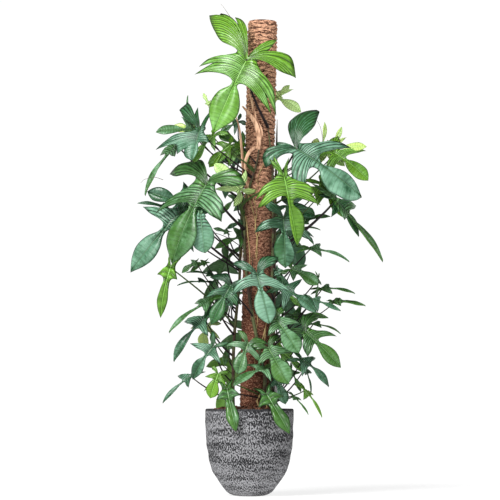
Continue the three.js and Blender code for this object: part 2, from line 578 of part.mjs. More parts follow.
// The petiole leaves its stem outwards and upwards, bowed aside by an offset, and stops behind the blade's heart
function petiolePath(pose, behind, bow) {
  const start = petioleStart(pose);
  const normal = bladeNormal(pose, HEART, 0);
  const end = bladePoint(pose, HEART, 0).addScaledVector(normal, -behind);
  const chord = end.clone().sub(start);
  const distance = chord.length();
  const outward = new THREE.Vector3(start.x - poleAxis(start.z), start.y, 0).normalize();
  const leave = outward.multiplyScalar(0.8).add(new THREE.Vector3(0, 0, 0.5));
  const arrive = chord.clone().normalize().add(new THREE.Vector3(0, 0, 0.3));
  arrive.addScaledVector(normal, Math.max(0, 0.75 - arrive.dot(normal))).normalize();
  const first = start.clone().addScaledVector(leave, 0.35 * distance).add(bow);
  const second = end.clone().addScaledVector(arrive, -0.3 * distance).addScaledVector(bow, 0.6);
  return new THREE.CubicBezierCurve3(start, first, second, end).getPoints(PETIOLE_STEPS);
}

// The bows that a petiole may take, its listed one and then the straightest first
function petioleBows(pose) {
  const ahead = pose.from.clone().sub(petioleStart(pose)).normalize();
  const level = new THREE.Vector3(-ahead.y, ahead.x, 0).normalize();
  const upright = level.clone().cross(ahead).normalize();
  const bows = pose.bow ? [new THREE.Vector3(...pose.bow)] : [];
  for (const size of PETIOLE_BOWS) {
    const directions = size === 0 ? 1 : PETIOLE_BOW_DIRECTIONS;
    for (let k = 0; k < directions; k += 1) {
      const turn = (2 * Math.PI * k) / PETIOLE_BOW_DIRECTIONS;
      const bow = level.clone().multiplyScalar(size * Math.cos(turn));
      bows.push(bow.addScaledVector(upright, size * Math.sin(turn)));
    }
  }
  return bows;
}

// The first petiole that passes clear of everything it isn't joined to, seated as close behind its blade as it
// goes; the petiole of a leaf that is grown together with its stem ends within the blade
function petioleSolid(pose, apart, obstacles) {
  const radius = petioleRadius(pose);
  const sides = radius > PETIOLE_THINNEST * 1.5 ? PETIOLE_SIDES : 3;
  const draft = (behind, bow) => toSolid(
    tube(petiolePath(pose, behind, bow), radius, radius * PETIOLE_TIP_SHARE, sides),
  );
  const seats = PETIOLE_SEATS.map((share) => BLADE_THICKNESS / 2 + share * radius * PETIOLE_TIP_SHARE);
  for (const bow of petioleBows(pose)) {
    for (const behind of apart ? seats : [0]) {
      const solid = draft(behind + (apart ? GAP : 0), bow);
      if (!overlaps(solid, obstacles) && !(apart && overlaps(draft(behind, bow), obstacles))) {
        return solid;
      }
    }
  }
  throw new Error(`no way through for the petiole that ends at ${pose.from.toArray().map(Math.round)}`);
}

// Leaves behind the plant, by rule: a steady climb, spread over the rear half, each hanging outwards
function rearLeaf(i) {
  const kinds = ["mature", "plain", "broad", "slender", "plain", "mature", "slender"];
  const tones = ["dark", "mid", "dark", "bright", "mid", "dark", "mid"];
  const small = i >= REAR_LEAVES_APART;
  const place = small ? i - REAR_LEAVES_APART + 0.5 : i;
  const step = small ? 160 : 122;
  const z = 430 + step * place;
  const bearing = 90 + 48 * Math.sin(2.4 * i + 0.6);
  const turn = THREE.MathUtils.degToRad(bearing);
  const reach = (small ? 110 : 150) + 28 * Math.sin(1.7 * i);
  const hang = (small ? 105 : 175) + 25 * Math.sin(2.9 * i);
  const spread = small ? 60 : 95;
  const at = (distance, height) => [
    Math.round(poleAxis(height) + distance * Math.cos(turn)),
    Math.round(distance * Math.sin(turn)),
    Math.round(height),
  ];
  const stem = Math.cos(turn) < -0.45 ? 3 : Math.cos(turn) > 0.45 ? 4 : 5;
  return [kinds[i % 7], tones[(i + 3) % 7], stem, at(reach, z), at(reach + spread, z - hang), bearing + 90, 25,
    i % 2 ? -1 : 1];
}

function potGeometry() {
  const inside = [...POT_INNER, [POT_FLOOR_RADIUS, POT_FLOOR]];
  return lathe([[0, 0], ...POT_OUTER, ...POT_RIM, ...inside, [0, POT_FLOOR]], POT_SIDES);
}

// The coir: zigzag rings up to a rounded top, with a blind bore for the stake
function coirGeometry() {
  const bore = STAKE_RADIUS + GAP;
  const profile = [[bore, COIR_START], [COIR_VALLEY_RADIUS, COIR_START]];
  const ridges = Math.floor((POLE_LENGTH - COIR_START - 20) / COIR_RIDGE_PITCH);
  for (let i = 0; i < ridges; i += 1) {
    const z = COIR_START + COIR_RIDGE_PITCH * (i + 0.5);
    profile.push([COIR_RIDGE_RADIUS, z], [COIR_VALLEY_RADIUS, z + COIR_RIDGE_PITCH / 2]);
  }
  profile.push([COIR_RIDGE_RADIUS - 1, POLE_LENGTH - 12], [COIR_END_RADIUS, POLE_LENGTH], [0, POLE_LENGTH]);
  profile.push([0, STAKE_LENGTH + GAP], [bore, STAKE_LENGTH + GAP], [bore, COIR_START]);
  return lathe(profile, COIR_SIDES);
}

// A prism about the pole's own axis, in the pole's own place
function polePrism(radius, from, to, sides) {
  return new THREE.CylinderGeometry(radius, radius, to - from, sides)
    .rotateX(Math.PI / 2)
    .translate(0, 0, (from + to) / 2);
}

// A plain hole for something that stands in the soil, a little wider and deeper than it
function soilHole(path, radius, sides) {
  const last = path.length - 1;
  const ahead = path[last].clone().sub(path[last - 1]).normalize();
  return toSolid(tube([...path.slice(0, last), path[last].clone().addScaledVector(ahead, 1)], radius, radius, sides));
}

// The soil fills the pot down to its floor, with holes for the pole, the stake, the stems and two roots
function soilSolid(poleMatrix, rootPaths) {
  const wall = [...POT_INNER, [POT_FLOOR_RADIUS, POT_FLOOR]].map(([r, z]) => [r - GAP, z + GAP]);
  const floor = [0, POT_FLOOR + GAP];
  const body = toSolid(lathe([floor, ...wall.reverse(), ...SOIL_TOP, [0, SOIL_CROWN]], POT_SIDES));
  const cuts = [
    toSolid(polePrism(COIR_RIDGE_RADIUS + 0.4, COIR_START - GAP, POLE_LENGTH, COIR_SIDES).applyMatrix4(poleMatrix)),
    toSolid(polePrism(STAKE_RADIUS + 0.4, -10, COIR_START, COIR_SIDES).applyMatrix4(poleMatrix)),
    ...STEM_PATHS.map((path) => soilHole(path.slice(0, 4).reverse(), STEM_RADIUS + GAP, STEM_SIDES)),
    ...rootPaths.map((path) => soilHole(path, ROOT_HOLE_RADIUS, PETIOLE_SIDES)),
  ];
  return body.subtract(wasm.Manifold.union(cuts));
}

function piece(name, geometry, color, roughness) {
  const mesh = new THREE.Mesh(geometry, new THREE.MeshStandardMaterial({ color, roughness, metalness: 0 }));
  mesh.name = name;
  return mesh;
}

const pole = new THREE.Group();
pole.name = "pole";
pole.position.set(POLE_FOOT_X, 0, POLE_FOOT_Z);
pole.rotation.y = POLE_LEAN;
pole.add(piece("pole_coir", coirGeometry(), 0x9c5a40, 0.95));
pole.add(piece("pole_stake", polePrism(STAKE_RADIUS, 0, STAKE_LENGTH, COIR_SIDES), 0xb08a5c, 0.8));
pole.updateMatrixWorld(true);

const rootPaths = [strandPath(0, ROOT_LOOP, 7), strandPath(1, SECOND_ROOT, 5)];
const soil = soilSolid(pole.matrixWorld, rootPaths);
const guards = [
  toSolid(polePrism(COIR_RIDGE_RADIUS + 1, 0, POLE_LENGTH, 2 * COIR_SIDES).applyMatrix4(pole.matrixWorld)),
  toSolid(potGeometry()),
  soil,
].map(withBox);

// What grows on the stems: clasping roots, dried sheaths and the roots that reach the soil
const growth = STEM_PATHS.map((path) => [toSolid(tube(path, STEM_RADIUS, STEM_RADIUS * STEM_TOP_SHARE, STEM_SIDES))]);
for (const root of CLASPING_ROOTS) {
  growth[root[0]].push(toSolid(claspingRoot(root)));
}
for (const sheath of FRONT_SHEATHS) {
  growth[0].push(toSolid(tube(strandPath(0, sheath, 6), sheath.start, sheath.end, PETIOLE_SIDES)));
}
growth[0].push(toSolid(tube(rootPaths[0], ROOT_LOOP.start, ROOT_LOOP.end, PETIOLE_SIDES)));
growth[1].push(toSolid(tube(rootPaths[1], SECOND_ROOT.start, SECOND_ROOT.end, PETIOLE_SIDES)));

// Blades are set down one after another, each slid outwards or inwards by the least that clears the rest
const rearLeaves = Array.from({ length: REAR_LEAVES }, (_, i) => rearLeaf(i));
const leaves = [
  ...LEAVES.map((row) => ({ row, apart: true })),
  ...SMALL_LEAVES.map((row) => ({ row, apart: false })),
  ...rearLeaves.map((row, i) => ({ row, apart: i < REAR_LEAVES_APART })),
];
const blades = [];
leaves.forEach(({ row, apart }, index) => {
  const pose = bladePose(row, index);
  const outward = pose.out.clone().setZ(pose.out.z * 0.4).normalize();
  const obstacles = [...guards, ...growth.flat().map(withBox), ...blades];
  const start = pose.from;
  let solid = bladeSolid(pose);
  for (let slide = 1; overlaps(solid, obstacles); slide += 1) {
    const shift = BLADE_SLIDE_STEP * Math.ceil(slide / 2) * (slide % 2 ? 1 : -1);
    pose.from = start.clone().addScaledVector(outward, shift);
    solid = bladeSolid(pose);
  }
  blades.push({ ...withBox(solid), pose, apart });
});

// Petioles, each clear of the blades and of the other stems' growth; one of a small leaf enters its blade
for (const blade of blades) {
  const own = blade.pose.stem - 1;
  const others = growth.flatMap((solids, stem) => (stem === own ? [] : solids.map(withBox)));
  const strangers = blades.filter((other) => other !== blade || blade.apart);
  growth[own].push(petioleSolid(blade.pose, blade.apart, [...guards, ...strangers, ...others]));
}
for (const blade of blades.filter((other) => !other.apart)) {
  growth[blade.pose.stem - 1].push(blade.solid);
}

const object = new THREE.Group();
object.add(piece("pot", potGeometry(), 0x77777a, 0.9));
object.add(piece("soil", toGeometry(soil), 0x4a3226, 1));
object.add(pole);
growth.forEach((solids, stem) => {
  object.add(piece(`vine_${stem + 1}`, toGeometry(wasm.Manifold.union(solids)), 0x4a4630, 0.6));
});
blades.filter((blade) => blade.apart).forEach((blade, i) => {
  const name = `leaf_${String(i + 1).padStart(2, "0")}`;
  object.add(piece(name, toGeometry(blade.solid), TONES[blade.pose.tone], 0.4));
});

export default object;
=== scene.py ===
"""A climbing philodendron on a coir pole in a chiselled grey pot, dressed round its fixed frame.

Blades, stalks, stems, roots, sheaths, coir, soil, bark and pot are surfaces worked out from formulas.
Lengths in the tables are millimetres. A finished piece is in metres, with its place in its mesh.
"""

import math

import bpy
import numpy as np
from bpy.props import FloatProperty, FloatVectorProperty, IntProperty, PointerProperty
from bpy.types import Operator, Panel, PropertyGroup
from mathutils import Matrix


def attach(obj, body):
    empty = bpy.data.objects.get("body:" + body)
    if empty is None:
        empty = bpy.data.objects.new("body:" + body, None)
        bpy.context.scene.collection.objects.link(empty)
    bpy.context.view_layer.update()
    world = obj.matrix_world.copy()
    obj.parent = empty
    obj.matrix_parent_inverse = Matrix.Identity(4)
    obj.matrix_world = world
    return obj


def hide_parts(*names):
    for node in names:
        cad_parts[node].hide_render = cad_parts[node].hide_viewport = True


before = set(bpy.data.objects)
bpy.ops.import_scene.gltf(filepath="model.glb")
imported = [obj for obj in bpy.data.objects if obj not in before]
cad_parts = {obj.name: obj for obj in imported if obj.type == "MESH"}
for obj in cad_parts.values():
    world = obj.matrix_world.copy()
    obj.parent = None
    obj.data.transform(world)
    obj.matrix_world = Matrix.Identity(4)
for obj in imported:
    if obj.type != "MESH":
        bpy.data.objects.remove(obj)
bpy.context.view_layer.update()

bl_info = {
    "name": "Climbing philodendron",
    "version": (1, 0, 0),
    "blender": (4, 5, 0),
    "location": "3D View > Sidebar > Philodendron",
    "description": "Lobed blades, stalks, coir pole, soil and chiselled pot of a climbing philodendron",
    "category": "Add Mesh",
}

MM = 0.001

# Pot: outer and inner profiles as [radius, height]
POT_OUTER = [
    (0, 0), (36, 0), (50, 1.8), (61, 5), (70, 9.5), (80, 18), (97, 41), (113.5, 65), (127, 90), (136.5, 122),
    (142, 158), (146, 194), (148, 240), (148.5, 284), (148, 289),
]
POT_INNER = [(146, 291.6), (142.5, 291.8), (139.5, 288.5), (138, 270), (134, 200), (131, 158), (120, 110), (0, 100)]
SOIL_TOP = [(0, 300), (62, 298), (112, 289), (138, 277)]
SOIL_WALL = [(137, 262), (132, 200), (128, 165), (122, 150), (0, 150)]
POT_SIDES = 240
SOIL_SIDES = 120
BARK_CHIPS = 260

# Pole: foot, lean and coir, in the pole's own frame
POLE_FOOT = (10.4, 0, 20.8)
POLE_LEAN = math.radians(1.24)
COIR_START = 214
COIR_END = 1582
COIR_RADIUS = 48
COIR_SIDES = 112
COIR_STEP = 2.6
COIR_SHOULDER = 14
FIBRES_LOWEST = 290

# Leaf blades. Their grid is denser near the midrib by a power, and the back lobes' rays start on its first short run.
BLADE_THICKNESS = 0.9
RING_POWER = 1.35
CREEP = 0.05
MARGIN_STEPS = 24
MARGIN_WAVE = 0.05
DOME = 0.016
VALLEY = 0.012
PLEAT_START = 9
RIDGE_ABOVE = 0.35
BULGE_BELOW = 1.1
SLIDE_STEP = 5
SLIDES = 80
REAR_LEAVES = 11
REAR_LEAVES_APART = 7

# Petioles. One leaves its stem below its blade by a share of the blade's distance from the pole and a fixed drop.
PETIOLE_SHARE = 0.019
PETIOLE_LEAVES = 0.6
PETIOLE_DROP = 25
PETIOLE_LOWEST = 310
PETIOLE_THINNEST = 2.4
PETIOLE_TIP_SHARE = 0.55
PETIOLE_BOWS = (14, 28, 45, 65, 90)
PETIOLE_DIRECTIONS = 8
PETIOLE_STEPS = 5
HEART = 0.03

# Outlines of the leaf kinds, half by half from the junction with the petiole to the tip, for a blade one unit long.
# A point is (along the midrib, away from it), and one with a third value is a corner: 1 a lobe's tip, 0 a notch.
KINDS = {
    "crown": {
        "neck": 0.34, "veins": 0.05, "counts": (56, 38, 30), "rings": 10,
        "right": (
            [(-0.12, 0.035), (-0.29, 0.1), (-0.4, 0.21, 1), (-0.2, 0.18, 0), (-0.34, 0.33), (-0.44, 0.47),
             (-0.4, 0.61, 1), (-0.16, 0.4), (-0.03, 0.12)],
            [(0.065, 0.25), (0.05, 0.46), (0.165, 0.6, 1), (0.19, 0.4, 0), (0.24, 0.55, 1), (0.31, 0.34),
             (0.33, 0.1)],
            [(0.38, 0.04), (0.45, 0.1), (0.55, 0.165), (0.66, 0.188), (0.77, 0.16), (0.88, 0.09)],
        ),
        "left": (
            [(-0.21, 0.1), (-0.41, 0.2), (-0.56, 0.31), (-0.65, 0.41, 1), (-0.46, 0.31, 0), (-0.7, 0.48),
             (-0.93, 0.63, 1), (-0.81, 0.62, 0), (-1.1, 0.78, 1), (-0.8, 0.68), (-0.5, 0.55), (-0.22, 0.38),
             (-0.05, 0.15)],
            [(0.0, 0.24), (-0.02, 0.44), (0.06, 0.505, 1), (0.085, 0.36, 0), (0.175, 0.506, 1), (0.24, 0.3),
             (0.32, 0.07)],
            [(0.4, 0.04), (0.5, 0.135), (0.63, 0.17), (0.78, 0.14), (0.91, 0.06)],
        ),
    },
    "mature": {
        "neck": 0.32, "veins": 0.055, "counts": (36, 34, 30), "rings": 9,
        "right": (
            [(-0.06, 0.04), (-0.17, 0.12), (-0.27, 0.22), (-0.28, 0.35), (-0.32, 0.47), (-0.27, 0.54, 1),
             (-0.12, 0.4), (-0.02, 0.15)],
            [(0.13, 0.2), (0.21, 0.34), (0.37, 0.41, 1), (0.33, 0.24), (0.3, 0.09)],
            [(0.37, 0.05), (0.47, 0.1), (0.62, 0.15), (0.77, 0.14), (0.9, 0.07)],
        ),
        "left": (
            [(-0.1, 0.03), (-0.2, 0.1), (-0.28, 0.2), (-0.27, 0.38, 1), (-0.1, 0.25), (-0.02, 0.1)],
            [(0.07, 0.16), (0.11, 0.3), (0.25, 0.37, 1), (0.31, 0.22), (0.3, 0.07)],
            [(0.37, 0.06), (0.46, 0.11), (0.58, 0.17), (0.72, 0.17), (0.88, 0.1)],
        ),
    },
    "forked": {
        "neck": 0.34, "veins": 0.055, "counts": (30, 40, 28), "rings": 9,
        "right": (
            [(-0.06, 0.02), (-0.12, 0.05), (-0.22, 0.12, 1), (-0.1, 0.08)],
            [(0.04, 0.06), (0.11, 0.17), (0.13, 0.3), (0.19, 0.37, 1), (0.26, 0.32, 0), (0.35, 0.41, 1),
             (0.37, 0.26), (0.36, 0.1)],
            [(0.44, 0.05), (0.52, 0.12), (0.62, 0.15), (0.75, 0.135), (0.88, 0.08)],
        ),
        "left": (
            [(-0.11, 0.04), (-0.27, 0.08, 1), (-0.2, 0.1, 0), (-0.25, 0.15, 1), (-0.12, 0.12), (-0.03, 0.07)],
            [(0.04, 0.17), (0.04, 0.32), (0.1, 0.45, 1), (0.15, 0.28, 0), (0.21, 0.44, 1), (0.29, 0.3),
             (0.29, 0.06)],
            [(0.42, 0.02), (0.55, 0.035), (0.72, 0.045), (0.88, 0.03)],
        ),
    },
    "winged": {
        "neck": 0.29, "veins": 0.055, "counts": (40, 36, 32), "rings": 10,
        "right": (
            [(-0.1, 0.06), (-0.24, 0.16), (-0.33, 0.25), (-0.38, 0.33), (-0.47, 0.47), (-0.51, 0.56),
             (-0.515, 0.62, 1), (-0.43, 0.6), (-0.15, 0.4), (-0.04, 0.24), (0, 0.08)],
            [(0.1, 0.16), (0.15, 0.25), (0.17, 0.36), (0.22, 0.41), (0.35, 0.42, 1), (0.33, 0.32), (0.31, 0.23),
             (0.29, 0.1)],
            [(0.38, 0.02), (0.48, 0.05), (0.6, 0.1), (0.71, 0.11), (0.84, 0.08)],
        ),
        "left": (
            [(-0.12, 0.03), (-0.2, 0.05), (-0.23, 0.08, 1), (-0.18, 0.1, 0), (-0.29, 0.19), (-0.34, 0.33),
             (-0.29, 0.41, 1), (-0.18, 0.31), (-0.07, 0.16)],
            [(0.03, 0.1), (0.07, 0.23), (0.1, 0.36), (0.16, 0.405), (0.24, 0.41, 1), (0.29, 0.3), (0.3, 0.12)],
            [(0.4, 0.08), (0.47, 0.145), (0.54, 0.19), (0.62, 0.215), (0.72, 0.2), (0.86, 0.17), (0.96, 0.09)],
        ),
    },
    "starry": {
        "neck": 0.5, "veins": 0.07, "counts": (44, 36, 22), "rings": 9,
        "right": (
            [(-0.28, 0.015), (-0.6, 0.045, 1), (-0.52, 0.08), (-0.14, 0.07)],
            [(0.1, 0.08), (0.25, 0.16), (0.42, 0.22, 1), (0.42, 0.14), (0.4, 0.09)],
            [(0.48, 0.04), (0.65, 0.06), (0.78, 0.055), (0.94, 0.025)],
        ),
        "left": (
            [(-0.26, 0.045), (-0.48, 0.095), (-0.83, 0.16, 1), (-0.54, 0.165, 0), (-0.8, 0.25), (-1.02, 0.31),
             (-1.2, 0.38, 1), (-1.05, 0.41), (-0.83, 0.43, 1), (-0.45, 0.3), (-0.05, 0.08)],
            [(0.15, 0.21), (0.07, 0.36), (0.1, 0.48), (0.15, 0.56), (0.34, 0.61, 1), (0.38, 0.37), (0.49, 0.29, 0),
             (0.78, 0.25, 1), (0.7, 0.2), (0.62, 0.17)],
            [(0.7, 0.15), (0.82, 0.14), (0.93, 0.09)],
        ),
    },
    "oval": {
        "neck": 0.16, "veins": 0.08, "counts": (12, 14, 40), "rings": 8,
        "right": (
            [(-0.03, 0.03), (-0.05, 0.08, 1), (0, 0.07)],
            [(0.06, 0.1), (0.11, 0.14, 1), (0.15, 0.11)],
            [(0.24, 0.17), (0.4, 0.25), (0.6, 0.27), (0.82, 0.19), (0.95, 0.08)],
        ),
        "left": (
            [(-0.03, 0.02), (-0.04, 0.06, 1), (0, 0.05)],
            [(0.05, 0.08), (0.09, 0.12, 1), (0.13, 0.1)],
            [(0.24, 0.18), (0.4, 0.26), (0.6, 0.28), (0.8, 0.22), (0.94, 0.1)],
        ),
    },
    "plain": {
        "neck": 0.28, "veins": 0.07, "counts": (26, 26, 24), "rings": 8,
        "right": (
            [(-0.1, 0.04), (-0.26, 0.12), (-0.36, 0.3), (-0.42, 0.47, 1), (-0.19, 0.34), (-0.03, 0.14)],
            [(0.08, 0.2), (0.13, 0.4), (0.2, 0.56, 1), (0.3, 0.33), (0.27, 0.09)],
            [(0.34, 0.04), (0.46, 0.1), (0.6, 0.16), (0.76, 0.175), (0.9, 0.1)],
        ),
        "left": (
            [(-0.1, 0.04), (-0.26, 0.12), (-0.4, 0.26), (-0.46, 0.39, 1), (-0.2, 0.26), (-0.03, 0.1)],
            [(-0.02, 0.24), (-0.07, 0.42), (0.0, 0.55, 1), (0.13, 0.36), (0.23, 0.1)],
            [(0.32, 0.06), (0.43, 0.15), (0.56, 0.2), (0.73, 0.19), (0.89, 0.11)],
        ),
    },
    "broad": {
        "neck": 0.28, "veins": 0.075, "counts": (22, 22, 24), "rings": 8,
        "right": (
            [(-0.14, 0.08), (-0.26, 0.22), (-0.3, 0.37, 1), (-0.13, 0.28), (-0.02, 0.12)],
            [(0.07, 0.27), (0.17, 0.45, 1), (0.25, 0.3), (0.27, 0.13)],
            [(0.38, 0.13), (0.52, 0.21), (0.68, 0.23), (0.85, 0.16)],
        ),
        "left": (
            [(-0.16, 0.1), (-0.28, 0.2), (-0.33, 0.32, 1), (-0.13, 0.25), (-0.02, 0.1)],
            [(0.05, 0.28), (0.1, 0.42, 1), (0.2, 0.27), (0.25, 0.12)],
            [(0.37, 0.14), (0.52, 0.22), (0.68, 0.23), (0.85, 0.15)],
        ),
    },
    "slender": {
        "neck": 0.27, "veins": 0.075, "counts": (22, 22, 24), "rings": 7,
        "right": (
            [(-0.14, 0.05), (-0.28, 0.14), (-0.38, 0.24, 1), (-0.16, 0.18), (-0.02, 0.08)],
            [(0.06, 0.22), (0.07, 0.44, 1), (0.19, 0.28), (0.25, 0.07)],
            [(0.36, 0.04), (0.5, 0.11), (0.66, 0.14), (0.82, 0.1)],
        ),
        "left": (
            [(-0.14, 0.05), (-0.3, 0.16), (-0.4, 0.28, 1), (-0.16, 0.2), (-0.02, 0.09)],
            [(0.03, 0.26), (0.05, 0.48, 1), (0.2, 0.28), (0.26, 0.07)],
            [(0.36, 0.045), (0.5, 0.12), (0.66, 0.145), (0.83, 0.1)],
        ),
    },
    "young": {
        "neck": 0.26, "veins": 0.2, "counts": (16, 16, 20), "rings": 6,
        "right": (
            [(-0.12, 0.1), (-0.26, 0.24, 1), (-0.03, 0.16)],
            [(0.12, 0.34, 1), (0.25, 0.13)],
            [(0.42, 0.13), (0.62, 0.18), (0.82, 0.12)],
        ),
        "left": (
            [(-0.14, 0.1), (-0.3, 0.22, 1), (-0.03, 0.14)],
            [(0.08, 0.36, 1), (0.25, 0.12)],
            [(0.42, 0.14), (0.62, 0.19), (0.82, 0.12)],
        ),
    },
}

# Climbing stems, from the soil upwards, as (height, bearing round the pole in degrees, distance from its axis).
# Bearing 0 is to the right, 90 behind, 180 to the left and -90 in front.
STEMS = [
    [(236, -62, 62), (400, -58, 60), (500, -80, 58), (600, -104, 58), (800, -138, 58), (970, -147, 58),
     (1034, -128, 58), (1090, -100, 58), (1165, -94, 58), (1215, -92, 60)],
    [(236, -28, 68), (400, -32, 60), (700, -32, 58), (900, -30, 58), (1100, -42, 58), (1176, -54, 58),
     (1262, -70, 60)],
    [(236, -172, 66), (330, -170, 74), (514, -168, 76), (700, 176, 60), (1000, 165, 58), (1200, 160, 60)],
    [(236, 8, 66), (500, 2, 60), (800, 6, 58), (1050, 15, 58), (1270, 20, 60)],
    [(236, 100, 60), (600, 88, 58), (1000, 96, 58), (1400, 90, 60)],
]
STEM_RADIUS = 6.2
STEM_TOP_SHARE = 0.55
STEM_STEP = 80

# Aerial roots that clasp the pole, as (stem, height at the stem, drop, bearing gained)
CLASPING_ROOTS = [
    (0, 940, 170, 26), (0, 1010, 120, 34), (0, 640, 110, 22), (1, 640, 120, -24), (1, 480, 90, 26),
    (2, 900, 130, 24), (3, 1000, 130, -24), (3, 700, 120, 24), (4, 820, 140, 24),
]
CLASP_RADIUS = 1.8
CLASP_DISTANCE = 52.6
COIR_ROOT_DISTANCE = 51.6

# Twigs: thin stalks without a blade, each on the stem that comes next in this row
TWIGS = 34
TWIG_STEMS = (0, 2, 1, 3, 0, 2)
TWIG_LOWEST = 390
TWIG_RISE = 15.5

# Dried sheaths in front of the pole as (stem, height at the stem, start radius, end radius, path)
FRONT_SHEATHS = [
    (0, 1160, 3.6, 1.4, [(30, -72, 1210), (18, -78, 1250), (-6, -80, 1285), (-24, -80, 1304)]),
    (0, 1030, 3.2, 1.4, [(-20, -62, 1085), (-26, -68, 1160), (-34, -68, 1230), (-46, -66, 1272)]),
    (0, 1170, 2.6, 1.2, [(6, -72, 1158), (-12, -70, 1125), (-14, -66, 1080), (-4, -68, 1040)]),
    (0, 1185, 2.4, 1.2, [(40, -68, 1220), (22, -70, 1262), (10, -68, 1310), (0, -68, 1350)]),
]

# Thin dry tendrils as (radius, path)
TENDRILS = [
    (0.7, [(-58, -112, 1592), (-72, -112, 1612), (-84, -110, 1630), (-97, -108, 1646)]),
    (0.9, [(236, -28, 1150), (246, -24, 1190), (240, -20, 1236), (228, -18, 1262)]),
    (0.8, [(-112, -40, 1320), (-120, -46, 1296), (-108, -50, 1262), (-112, -50, 1230)]),
    (0.8, [(-290, -40, 1060), (-318, -44, 1068), (-350, -44, 1062), (-366, -40, 1050)]),
]

# Thin roots that lie on the coir as (bearing and height at the top, bearing and height at the bottom, radius)
COIR_ROOTS = [
    (-108, 1010, -96, 880, 1.5), (-100, 880, -86, 760, 1.3), (-84, 900, -98, 800, 1.1), (-112, 800, -92, 700, 1.4),
    (-70, 760, -96, 640, 1.3), (-96, 640, -80, 520, 1.2), (-60, 560, -84, 430, 1.5), (-104, 520, -88, 400, 1.4),
    (-76, 1120, -104, 1020, 1.2), (-98, 1060, -70, 1000, 1.1),
]

# Roots that run into the soil as (stem, height at the stem, start radius, end radius, path)
SOIL_ROOTS = [
    (0, 352, 3, 2.4, [(36, -78, 340), (26, -90, 320), (30, -92, 304), (40, -88, 285)]),
    (1, 372, 2.6, 2.2, [(64, -56, 352), (59, -72, 325), (56, -78, 285)]),
]

